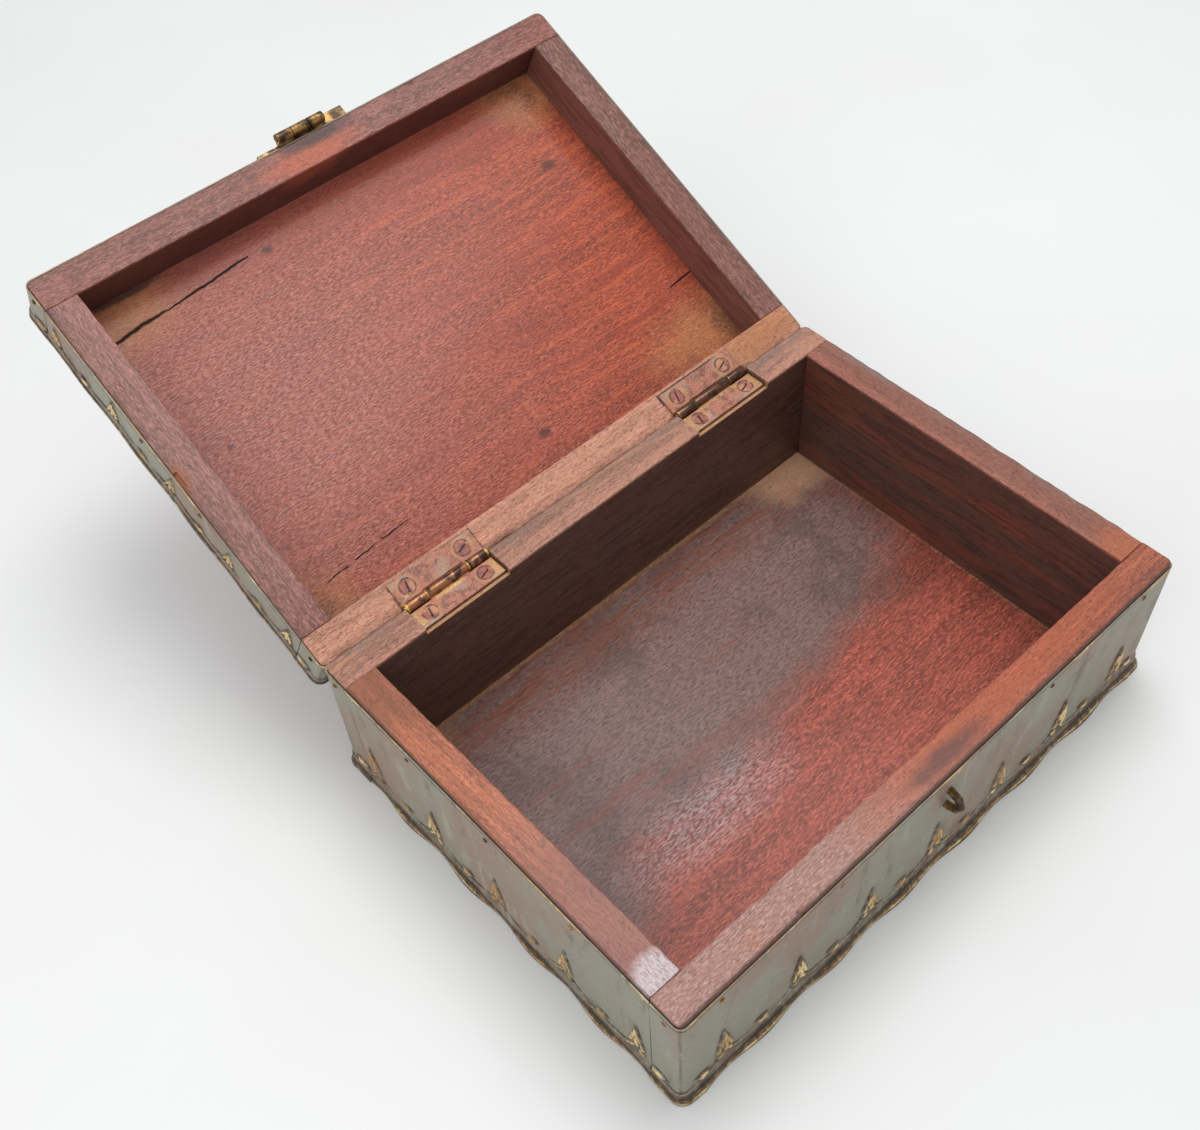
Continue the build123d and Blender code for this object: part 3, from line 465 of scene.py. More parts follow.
walls = {
    "front": dict(direction="X", wear=(0.9, 0.7, 0.2, 0.2), seed=11, ground=(178, 96, 66)),
    "back": dict(direction="X", wear=(0.9, 0.6, 0.2, 0.2), seed=12, ground=(190, 134, 112)),
    "left": dict(direction="Y", wear=(0.9, 0.6, 0.2, 0.2), seed=13, ground=(190, 112, 80)),
    "right": dict(direction="Y", wear=(0.9, 0.6, 0.2, 0.2), seed=14, ground=(164, 98, 78)),
}
for side, plan in walls.items():
    node = f"base_{side}_board"
    low, high = [list(corner * 1000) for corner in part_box(node)]
    wall = worn_board(f"base_{side}_wall", low, high, plan["direction"], plan["wear"], plan["seed"])
    if side == "back":
        let_in_hinges(wall, 61.0, 80)
    board = red_stained(f"{side} wall", ground=plan["ground"], grain_along=plan["direction"],
                        shift=0.13 * plan["seed"], amount=0.55, wrinkle_shading=0.45)
    tree = board.tree
    axes = put(tree, "SeparateXYZ", {0: board.where}).outputs
    rim = between(tree, axes[2], 0.0622, 0.0634)
    below = minus(tree, 1.0, rim)
    outward = size_of(tree, axes[1] if plan["direction"] == "X" else axes[0])
    outermost = 0.0865 if plan["direction"] == "X" else 0.1215
    # inner faces: dark stain with red figure; their darker tones on the left and front walls are partly
    # painted shade
    reddish = {"right": (150, 66, 38), "left": (76, 40, 30)}.get(side, (104, 56, 40))
    stain_and_shade = {"left": (52, 32, 26), "front": (66, 38, 30)}.get(side, (84, 52, 42))
    board.coat(stain_and_shade, below, strength=0.9)
    board.coat(reddish, below, board.shown("Figure", 0.40, 0.62), strength=0.6)
    board.coat((24, 13, 10), below, board.shown("Streak", 0.48, 0.60), strength=0.55)
    # painted shade in the wrinkle hollows and painted highlights on the wrinkle tops of the inner faces
    board.coat((20, 12, 10), below, board.shown("Wrinkle", 0.46, 0.38), strength=0.7)
    board.coat((168, 118, 92), below, board.shown("Wrinkle", 0.58, 0.66), strength=0.45)
    board.coat((96, 58, 34), below, between(tree, axes[2], 0.046, 0.064), board.scuff["Cloud"], strength=0.5)
    board.coat((134, 96, 66), below, between(tree, axes[2], 0.0075, 0.0052), board.scuff["Cloud"],
               strength=0.8)
    if side == "front":
        # a paler, pinker place on the near part of the rim, partly the wood's tone and partly painted sheen,
        # with painted highlights on its wrinkle tops and painted shade in their hollows
        pink_sheen = board.patch((-0.085, -0.0835, RIM_LEVEL), (0.062, 0.03, 1.0), 0.7, 0.3)
        board.coat((172, 126, 114), pink_sheen, rim, strength=0.75)
        board.coat((228, 204, 192), pink_sheen, rim, board.shown("Wrinkle", 0.51, 0.58), strength=0.4)
        board.coat((228, 210, 200), board.patch((0.050, -0.084, RIM_LEVEL), (0.030, 0.007, 1.0), 0.9, 0.6),
                   rim, board.scuff["Pale"], strength=0.9)
        board.coat((104, 66, 58), pink_sheen, rim, board.shown("Wrinkle", 0.45, 0.37), strength=0.6)
        board.coat((186, 106, 66), pink_sheen, rim, board.shown("Cloud", 0.45, 0.9), strength=0.5)
        orange = board.patch((0.030, -0.0815, RIM_LEVEL), (0.060, 0.006, 1.0), 0.9, 0.4)
        board.coat((192, 92, 52), orange, rim, strength=0.6)
        smudge = board.patch((0.004, -0.0845, RIM_LEVEL), (0.017, 0.0035, 1.0), 0.8, 0.6)
        board.coat((88, 52, 44), smudge, rim, strength=0.75)
        board.coat((92, 60, 46), between(tree, outward, outermost + 0.0015, 0.0897), rim, strength=0.6)
    elif side == "back":
        from_hinge = size_of(tree, minus(tree, size_of(tree, axes[0]), HINGE_X / 1000))
        in_mortise = times(tree, between(tree, from_hinge, 0.0200, 0.0196),
                           times(tree, between(tree, axes[1], 0.0770, 0.0773),
                                 between(tree, axes[2], 0.0606, 0.0608)))
        board.coat((206, 152, 106), in_mortise, strength=0.85)
        # a dark line along the edge of the hinge plate in the mortise: painted shadow of the plate
        board.coat((52, 30, 20), in_mortise, between(tree, axes[1], 0.0783, 0.0786), strength=0.9)
        board.coat((138, 116, 104), between(tree, outward, 0.0835, 0.0880), rim, board.scuff["Cloud"],
                   strength=0.7)
        board.coat((186, 132, 96), board.shown("Streak", 0.52, 0.62), rim, strength=0.5)
    elif side == "left":
        # a paler, pinker place by the near corner, partly the wood's tone and partly painted sheen
        pink_sheen = board.patch((-0.1185, -0.062, RIM_LEVEL), (0.03, 0.045, 1.0), 0.9, 0.25)
        board.coat((150, 98, 88), pink_sheen, rim, strength=0.7)
        # the window's reflection at the corner, painted as a pale and glossy place
        shiny = board.patch((-0.1175, -0.0725, RIM_LEVEL), (0.008, 0.0062, 1.0), 0.55, 0.35)
        board.coat((220, 206, 210), shiny, rim, board.shown("Wrinkle", 0.34, 0.50), strength=0.8)
        board.coat((160, 132, 132), shiny, rim, board.shown("Wrinkle", 0.46, 0.38), strength=0.5)
        board.gloss = times(tree, shiny, rim)
        board.coat((138, 86, 62), board.patch((-0.1185, 0.070, RIM_LEVEL), (0.02, 0.02, 1.0), 0.9, 0.4), rim,
                   strength=0.6)
    else:
        board.coat((138, 116, 108), between(tree, outward, 0.1190, 0.1240), rim, board.scuff["Cloud"],
                   strength=0.8)
        board.coat((120, 66, 50), board.shown("Streak", 0.52, 0.62), rim, strength=0.5)
        board.coat((184, 100, 62), board.patch((0.118, -0.075, RIM_LEVEL), (0.012, 0.012, 1.0), 0.9, 0.5),
                   rim, strength=0.8)
    board.coat((62, 38, 30), between(tree, outward, outermost + 0.0024, outermost + 0.0033), rim,
               strength=0.6)
    board.coat((86, 44, 34), rim, board.grain["Pores"], strength=0.2)
    board.coat((222, 198, 182), rim, board.scuff["Pale"], strength=0.7)
    board.coat((48, 24, 18), board.scuff["Dark"], strength=0.30)
    set_in_place(wall, board.finish(0.34, 0.56), node, "base")


# Bottom board. One 5 mm panel let in between the walls and stained like them. A dark spill has
# soaked in over the back and left, and dust has settled in the joint along the back wall.

BOTTOM_FACE = 0.005
board = red_stained("bottom board", ground=(184, 88, 68), amount=0.5, shift=0.4)
tree = board.tree
axes = put(tree, "SeparateXYZ", {0: board.where}).outputs
fine = board.shown("Wrinkle", 0.44, 0.58)
spill = board.patch((-0.045, 0.042, BOTTOM_FACE), (0.165, 0.058, 1.0), 0.22, 0.11)
pool = board.patch((-0.112, 0.006, BOTTOM_FACE), (0.040, 0.050, 1.0), 0.4, 0.14)
spill = math_of(tree, "MAXIMUM", spill, pool)
board.coat((120, 94, 88), spill, strength=0.9)
# painted sheen on the wrinkle tops in the spill
board.coat((172, 142, 134), spill, fine, strength=0.5)
board.coat((70, 50, 46), spill, board.shown("Cloud", 0.35, 0.95), strength=0.32)
# painted shade in the wrinkle hollows of the spill
board.coat((66, 46, 42), spill, board.shown("Wrinkle", 0.45, 0.34), strength=0.6)
board.coat((150, 78, 58), spill, board.shown("Figure", 0.52, 0.66), strength=0.45)
wall_side = between(tree, axes[1], 0.046, 0.066)
board.coat((146, 84, 64), wall_side, board.shown("Streak", 0.42, 0.56), strength=0.75)
board.coat((84, 50, 40), wall_side, board.shown("Streak", 0.60, 0.66), strength=0.6)
shade = board.patch((0.086, -0.004, BOTTOM_FACE), (0.016, 0.011, 1.0), 0.9, 0.3)
board.coat((92, 62, 54), shade, strength=0.3)
joint = between(tree, axes[1], 0.0738, 0.0762)
board.coat((178, 130, 84), joint, board.shown("Wrinkle", 0.40, 0.52), strength=0.85)
# dust in the back right corner, paler than the other dust: partly painted light in the corner's shade
dust = board.patch((0.107, 0.073, BOTTOM_FACE), (0.022, 0.012, 1.0), 1.1, 0.5)
board.coat((232, 180, 142), dust, strength=0.8)
side_joint = between(tree, axes[0], 0.1098, 0.1118)
board.coat((206, 154, 112), side_joint, board.shown("Wrinkle", 0.44, 0.54), strength=0.7)
dust = board.patch((-0.108, 0.074, BOTTOM_FACE), (0.016, 0.008, 1.0), 1.0, 0.4)
board.coat((178, 130, 84), dust, strength=0.7)
# the window's reflection on the board, painted as a pale place
reflection_patch = board.patch((-0.046, -0.024, BOTTOM_FACE), (0.034, 0.012, 1.0), 1.0, 0.25)
board.coat((204, 190, 192), reflection_patch, fine, strength=0.6)
board.coat((52, 36, 32), board.scuff["Dark"], strength=0.4)
board.coat((206, 170, 152), board.scuff["Pale"], strength=0.45)
edge = math_of(tree, "MAXIMUM", between(tree, size_of(tree, axes[0]), 0.106, 0.112),
               between(tree, times(tree, axes[1], -1.0), 0.071, 0.077))
board.coat((110, 56, 40), edge, board.scuff["Cloud"], strength=0.25)
finish_with(nodes["base_bottom_board"], board.finish(0.33, 0.55))


# Metal cladding of the base. Thin sheet, worked from behind with a border of leaves, beads and
# hanging swags, nailed on and folded round the corners. Its foot is beaten out into a wavy hem,
# and rubbing has brought bare brass up through the grey-green skin on everything that stands out.

LEAF_FOOT, LEAF_INSET, BEAD_LEVEL, SWAG_LOW, SKIN = 12.8, 19.0, 9.8, 6.2, 0.7
END_BEAD_INSET, FOLD_BEAD, SEAM, FARTHEST_OUT = 9.0, 6.5, 0.2, 4.05
HALF_WIDE, HALF_DEEP, ROUND, FLANGE = 125.0, 90.0, 2.5, 12.5
# petals of one leaf: middle over the leaf's foot, half width, half length, inward lean, height
PETALS = (
    (0.0, 11.6, 1.25, 5.4, 0.0, 1.35),
    (1.5, 8.6, 1.05, 4.2, 0.14, 1.15),
    (2.4, 4.9, 1.0, 3.6, 0.28, 1.05),
    (0.0, 5.2, 1.4, 4.2, 0.0, 1.6),
    (2.2, -0.4, 0.85, 2.3, 0.75, 0.95),
)


def unit(values):
    return np.clip(values, 0, 1)


def soft(values):
    values = unit(values)
    return values * values * (3 - 2 * values)


def hump(values, width):
    """1 at nothing, falling off to either side."""
    return np.exp(-((values / width) ** 2))


def beaten(along, up, seed, size):
    """Slow dents of hand-worked sheet, between about -1 and 1."""
    chance = random.Random(seed)
    total = np.zeros_like(along)
    for _ in range(10):
        turn, pace = chance.uniform(0, math.tau), chance.uniform(0.6, 1.6) / size
        phase = chance.uniform(0, math.tau)
        total += np.sin(pace * (along * math.cos(turn) + up * math.sin(turn)) + phase)
    return total / 5


def emboss(along, up, leaves, beads, ends, scale, seed, toward):
    """Relief in millimetres over a sheet, and at each point its rubbed brass and highlight, grime and shade,
    and brown.
    Highlight and shade are painted: what stands out is bright on one side and dark on the other; toward, 1 or
    -1, sets which."""
    pitch = leaves[1] - leaves[0]
    relief = 0.10 * beaten(along, up, seed, 9.0) + 0.16 * beaten(along, up, seed + 1, 28.0)
    # brass rubbed through with painted highlights, grime with painted shade, and brown
    rubbed = np.zeros_like(along)
    grime_and_shade = np.zeros_like(along)
    browned = np.zeros_like(along)
    chance = random.Random(seed)
    for place in leaves:
        near = np.abs(along - place) < 9
        lean, stretch = chance.uniform(-0.05, 0.05), chance.uniform(0.94, 1.04)
        y = (up[near] / scale - LEAF_FOOT) / stretch
        x = (along[near] - place) / max(scale, 0.8) - lean * y
        best, second = np.zeros_like(x), np.zeros_like(x)
        nearest = np.full_like(x, 9.0)
        bright, dark = np.zeros_like(x), np.zeros_like(x)
        for middle_x, middle_y, half_wide, half_tall, turn, height in PETALS:
            for sign in (-1, 1) if middle_x else (1,):
                cosine, sine = math.cos(turn), math.sin(turn)
                dx, dy = sign * x - middle_x, y - middle_y
                across = (dx * cosine + dy * sine) / half_wide
                lengthwise = (dy * cosine - dx * sine) / half_tall
                away = np.sqrt(across ** 2 + lengthwise ** 2)
                dome = height * np.sqrt(unit(1 - away ** 2))
                # the side of each petal that gets the painted highlight; the other side gets painted shade
                lit_side = unit(0.7 - 0.5 * (toward * sign * across + 0.6 * lengthwise))
                bright = np.maximum(bright,
                                    unit(1.5 * np.sqrt(unit(1 - away ** 2)) - 0.3) * (0.4 + 0.6 * lit_side))
                dark = np.maximum(dark, 0.8 * hump(away - 1.1, 0.25) * (1 - 0.9 * lit_side))
                nearest = np.minimum(nearest, away)
                second = np.maximum(second, np.minimum(best, dome))
                best = np.maximum(best, dome)
        # the creases between the petals are darkened as painted shade
        crease = hump(best - second, 0.24) * (second > 0.15)
        outline = hump(nearest - 1.25, 0.3)
        relief[near] += best - 0.5 * crease - 0.3 * outline
        rubbed[near] = np.maximum(rubbed[near], bright)
        grime_and_shade[near] = np.maximum(grime_and_shade[near], np.maximum(dark, 0.7 * crease) * (1 - 0.5 * bright))
        browned[near] = np.maximum(browned[near], 0.65 * np.exp(-unit((nearest - 0.9) / 2.4) * 3.2))
    for place in list(beads) + list(ends):
        near = np.abs(along - place) < 8
        x = (along[near] - place) / 3.0
        y = (up[near] - BEAD_LEVEL * scale) / 1.5
        away = np.sqrt(x * x + y * y)
        dome = np.sqrt(unit(1 - away * away))
        halo = hump(away - 1.15, 0.35)
        # the side of each bead that gets the painted highlight; the other side and the halo get painted shade
        lit_side = unit(1.05 - 0.6 * (0.6 * toward * x + y))
        relief[near] += 1.15 * dome - 0.25 * halo
        rubbed[near] = np.maximum(rubbed[near], dome * (0.3 + 0.7 * lit_side))
        grime_and_shade[near] = np.maximum(grime_and_shade[near], halo * (1 - 0.85 * lit_side))
        browned[near] = np.maximum(browned[near], 0.7 * np.exp(-unit((away - 1.0) / 1.6) * 3.2))
    rope = np.full_like(along, LEAF_FOOT)
    for place in beads:
        span = unit(np.abs(along - place) / (pitch / 2))
        here = np.abs(along - place) <= pitch / 2
        rope[here] = SWAG_LOW + (LEAF_FOOT - SWAG_LOW) * span[here] ** 2.2
    for place in ends:
        inner = leaves[0] if place < 0 else leaves[-1]
        span = unit((along - place) / (inner - place))
        here = (along - place) * (along - inner) <= 0
        rope[here] = SWAG_LOW + (LEAF_FOOT - SWAG_LOW) * span[here] ** 2.2
        past = np.abs(along) > abs(place)
        rope[past] = SWAG_LOW
    rope = rope * scale
    off = up - rope
    strand = hump(off, 0.75)
    under = soft(-off / 1.2)
    relief += 0.75 * strand + 0.35 * under
    rubbed = np.maximum(rubbed, 0.6 * strand * (0.5 + 0.5 * np.sin(along * 2.1)))
    grime_and_shade = np.maximum(grime_and_shade, hump(off - 1.0, 0.7) * (0.6 + 0.3 * beaten(along, up, seed + 3, 4.0)))
    depth = unit(-off / (4.0 * scale))
    brown = unit(np.maximum(browned, 0.8 * under * (1 - 0.4 * depth) + 0.4 * np.exp(-np.abs(off) / 2.4)))
    return relief, rubbed, grime_and_shade, brown


def clad(name, side, foot, top, scale, step, seed, hem_up=False, notch=None):
    """One sheet as a closed skin: the worked face, its cut edges and the plain back."""
    long_side = side in ("front", "back")
    half = HALF_WIDE if long_side else HALF_DEEP
    bend = ROUND + SKIN
    straight = half + SKIN - bend
    turn = bend * math.pi / 2
    tail = FLANGE - ROUND if long_side else 0.0
    reach = straight + turn + tail if long_side else half - FLANGE - SEAM
    count = int(2 * reach / step)
    path = np.linspace(-reach, reach, count + 1)
    tall = top - foot
    border = min(31.5 * scale, tall - 3)
    top_rows = tall - np.arange(5)[::-1] * 0.45
    rows = np.concatenate([np.arange(0, border, step), np.linspace(border, tall - 2.4, 16), top_rows])
    along, up = np.meshgrid(path, rows, indexing="ij")
    number = 7 if long_side else 5
    pitch = 2 * (half - LEAF_INSET) / (number - 1)
    leaves = [pitch * (k - (number - 1) / 2) for k in range(number)]
    beads = [place + pitch / 2 for place in leaves[:-1]]
    ends = [END_BEAD_INSET - half, half - END_BEAD_INSET]
    fold_beads = [-(straight + turn + FOLD_BEAD), straight + turn + FOLD_BEAD] if long_side else []
    # which side of each raised part gets the painted highlight and which the painted shade
    toward = 1 if side in ("left", "back") else -1
    relief, rubbed, grime_and_shade, brown = emboss(along, up, leaves, beads, ends, scale, seed, toward)
    for place in fold_beads:
        away = np.sqrt(((along - place) / 3.3) ** 2 + ((up - BEAD_LEVEL * scale) / 1.6) ** 2)
        relief += 1.15 * np.sqrt(unit(1 - away ** 2))
        rubbed = np.maximum(rubbed, np.sqrt(unit(1 - away ** 2)))
        grime_and_shade = np.maximum(grime_and_shade, hump(away - 1.25, 0.28))
    wave = 0.5 + 0.5 * np.cos(math.tau * (along - leaves[0] - pitch / 2) / pitch)
    wave = np.where(np.abs(along) > abs(leaves[0]) + pitch / 3, 0.55, wave)
    least, swing = (0.55, 0.4) if hem_up else (0.5, 1.7) if side == "left" else (1.7, 1.4)
    stand_out = least + swing * wave
    if long_side and not hem_up:
        to_left = soft(((-along if side == "front" else along) - straight + 3) / (turn + 5))
        stand_out = stand_out * (1 - to_left) + (0.5 + 1.7 * 0.55) * to_left
    rise = 4.5 * scale
    flare = unit(1 - up / rise)
    hem = stand_out * flare ** 1.7
    lip = hump(up - 0.7, 0.55)
    rubbed = np.maximum(rubbed, 0.75 * hump(up - 0.9, 0.4))
    grime_and_shade = np.maximum(grime_and_shade, 0.9 * hump(up, 0.5))
    grime_and_shade = np.maximum(grime_and_shade, (0.65 + 0.2 * wave) * hump(up - 2.6 * scale, 1.0))
    brown = np.maximum(brown, soft((4.2 * scale - up) / (2.6 * scale)))
    upper = soft((tall - up) / 1.5)
    patchy = unit(0.5 + 0.9 * beaten(along, up, seed + 2, 6.0))
    rubbed = np.maximum(rubbed, (0.35 + 0.6 * patchy) * hump(tall - up - 0.2, 0.5))
    rubbed = np.maximum(rubbed, 0.62 * patchy * hump(tall - up - 2.0, 0.7))
    grime_and_shade = np.maximum(grime_and_shade, 0.85 * hump(tall - up - 1.1, 0.55))
    fold = hump(np.abs(along) - straight - turn / 2, 0.8) if long_side else 0 * along
    brown = np.maximum(brown, 0.75 * fold)
    out = 0.62 + unit(relief * upper + 0.22 * lip + 0.1) + (relief * upper > 0.9) * (relief * upper - 0.9)
    out = np.minimum(out + hem, 0.7 + stand_out + 0.25)
    out = np.minimum(out, FARTHEST_OUT)
    if notch:
        up = up - 1.5 * hump(along - notch, 1.1) * soft((up - tall + 4) / 4)
    # the section is a loop: worked face upward, then cut edge, back and hem underside
    backs = np.stack([out[:, -1] - 0.55, np.full(count + 1, 0.06), out[:, 0] - 0.55], axis=1)
    back_rows = np.array([tall, min(rise, tall * 0.5), 0.0])
    outs = np.concatenate([out, backs], axis=1)
    ups = np.concatenate([up, np.tile(back_rows, (count + 1, 1))], axis=1)
    across = np.abs(path)
    angle = unit((across - straight) / turn) * math.pi / 2 if long_side else np.zeros(count + 1)
    sign = np.sign(path)
    base_x = np.minimum(across, straight) + (np.sin(angle) * bend if long_side else 0)
    base_y = -(HALF_DEEP if long_side else HALF_WIDE) - SKIN + bend
    base_y = base_y - np.cos(angle) * bend + np.maximum(across - straight - turn, 0)
    base_x = sign * base_x
    normal_x, normal_y = sign * np.sin(angle), -np.cos(angle)
    x = base_x[:, None] + normal_x[:, None] * (outs - SKIN)
    y = base_y[:, None] + normal_y[:, None] * (outs - SKIN)
    z = foot + ups if not hem_up else top - ups
    quarter = {"front": 0, "right": 1, "back": 2, "left": 3}[side]
    cosine, sine = (1, 0, -1, 0)[quarter], (0, 1, 0, -1)[quarter]
    points = np.stack([x * cosine - y * sine, x * sine + y * cosine, z], axis=-1) / 1000
    ring = outs.shape[1]
    column = np.arange(count)[:, None] * ring
    row = np.arange(ring)[None, :]
    following = (row + 1) % ring
    quads = np.stack([column + row, column + ring + row, column + ring + following, column + following],
                     axis=-1)
    quads = quads.reshape(-1, 4)
    if hem_up:
        quads = quads[:, ::-1]
    caps = [list(range(ring))[::-1], [count * ring + k for k in range(ring)]]
    if hem_up:
        caps = [cap[::-1] for cap in caps]
    mesh = bpy.data.meshes.new(name)
    mesh.from_pydata(points.reshape(-1, 3), [], [*quads.tolist(), *caps])
    spare = np.zeros((count + 1, 3))
    for label, values in (("rubbed", rubbed), ("grime_and_shade", grime_and_shade), ("brown", brown)):
        layer = mesh.attributes.new(label, "FLOAT", "POINT")
        layer.data.foreach_set("value", np.concatenate([values, spare], axis=1).astype(np.float32).ravel())
    mesh.shade_smooth()
    return add_object(name, mesh)


def sheet_metal_finish():
    material, tree, shader = new_finish("grey green sheet")
    where = put(tree, "TexCoord").outputs["Object"]
    mask = {name: put(tree, "Attribute", attribute_name=name).outputs["Fac"] for name in ("rubbed",
                                                                                          "grime_and_shade", "brown")}
    cloud = noise_of(tree, where, 22.0, 5.0, 0.6)
    fine = noise_of(tree, where, 420.0, 4.0, 0.75)
    smear = noise_of(tree, vector_of(tree, "MULTIPLY", where, (1.0, 1.0, 0.22)), 130.0, 4.0, 0.65)
    colour = over(tree, tint(138, 134, 116), between(tree, cloud, 0.42, 0.62), tint(142, 116, 98))
    colour = over(tree, colour, between(tree, smear, 0.56, 0.74), tint(106, 96, 78))
    colour = over(tree, colour, between(tree, smear, 0.44, 0.30), tint(152, 148, 130))
    colour = over(tree, colour, between(tree, fine, 0.54, 0.72), tint(160, 154, 138))
    colour = over(tree, colour, between(tree, fine, 0.40, 0.26), tint(96, 90, 74))
    ragged = times(tree, minus(tree, smear, 0.5), 1.6)
    ragged = plus(tree, mask["brown"], ragged, clamp=True)
    brown = over(tree, tint(84, 62, 42), between(tree, fine, 0.46, 0.66), tint(140, 114, 84))
    colour = over(tree, colour, between(tree, ragged, 0.15, 0.95), brown)
    # brass shows where the sheet is rubbed and, as a painted highlight, on one side of what stands out
    brass_and_highlight_level = plus(tree, mask["rubbed"], times(tree, minus(tree, fine, 0.52), 0.9))
    brass_and_highlight = between(tree, brass_and_highlight_level, 0.34, 0.74)
    colour = over(tree, colour, brass_and_highlight,
                  over(tree, tint(196, 152, 92), between(tree, smear, 0.4, 0.6), tint(248, 222, 166)))
    # dark grime, and painted shade on one side of what stands out and in its creases
    grime_and_shade_mask = plus(tree, mask["grime_and_shade"], times(tree, minus(tree, fine, 0.5), -0.8))
    grime_and_shade_mask = times(tree, between(tree, grime_and_shade_mask, 0.25, 0.80), 0.9)
    colour = over(tree, colour, grime_and_shade_mask, tint(40, 28, 18))
    scratch = {"Start": (0.0678, -0.0907, 0.0475), "End": (0.0844, -0.0907, 0.0508)}
    scratch.update({"Vector": where, "Width": 0.00022, "Wander": 0.0012})
    scratched = put(tree, "Group", scratch, node_tree=crack).outputs["Mask"]
    colour = over(tree, colour, scratched, tint(52, 38, 26))
    tree.links.new(colour, shader.inputs["Base Color"])
    tree.links.new(between(tree, brass_and_highlight, 0.0, 1.0), shader.inputs["Metallic"])
    rough = put(tree, "MapRange", {"Value": fine, "To Min": 0.36, "To Max": 0.58}).outputs[0]
    tree.links.new(rough, shader.inputs["Roughness"])
    bump = put(tree, "Bump", {"Height": fine, "Distance": 0.0001, "Strength": 0.7})
    tree.links.new(bump.outputs[0], shader.inputs["Normal"])
    return material


TORN_PLACE = -39.9
BASE_SHEET_FOOT, BASE_SHEET_TOP = 0.4, 62.4
cladding_finish = sheet_metal_finish()
for side, step, seed in (("front", 0.4, 3), ("left", 0.4, 14), ("right", 0.6, 25), ("back", 0.6, 36)):
    notch = TORN_PLACE if side == "front" else None
    piece = clad(f"base_{side}_cladding", side, BASE_SHEET_FOOT, BASE_SHEET_TOP, 1.0, step, seed, notch=notch)
    piece.data.materials.append(cladding_finish)
    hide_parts(f"base_{side}_sheet")
    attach(piece, "base")


# Hardware of the base. Two butt hinges let into the back wall, each with a plain pin and two
# countersunk screws, a wire staple for the hasp, and small tacks along the metal's upper edge.
# All are brass, gone brown, with red varnish brushed over them.

def aged_brass(name, bright, dark, varnish, varnished=0.5):
    material, tree, shader = new_finish(name)
    where = put(tree, "TexCoord").outputs["Object"]
    cloud = noise_of(tree, where, 190.0, 5.0, 0.65)
    fine = noise_of(tree, where, 1300.0, 3.0, 0.6)
    colour = over(tree, bright, between(tree, cloud, 0.36, 0.56), dark)
    painted = times(tree, between(tree, noise_of(tree, where, 420.0, 4.0), 0.36, 0.6), varnished)
    colour = over(tree, colour, painted, varnish)
    tree.links.new(colour, shader.inputs["Base Color"])
    metal = put(tree, "MapRange", {"Value": painted, "To Min": 0.9, "To Max": 0.1}).outputs[0]
    tree.links.new(metal, shader.inputs["Metallic"])
    rough = put(tree, "MapRange", {"Value": fine, "To Min": 0.26, "To Max": 0.5}).outputs[0]
    tree.links.new(rough, shader.inputs["Roughness"])
    bump = put(tree, "Bump", {"Height": cloud, "Distance": 0.00012, "Strength": 0.8})
    tree.links.new(bump.outputs[0], shader.inputs["Normal"])
    return material


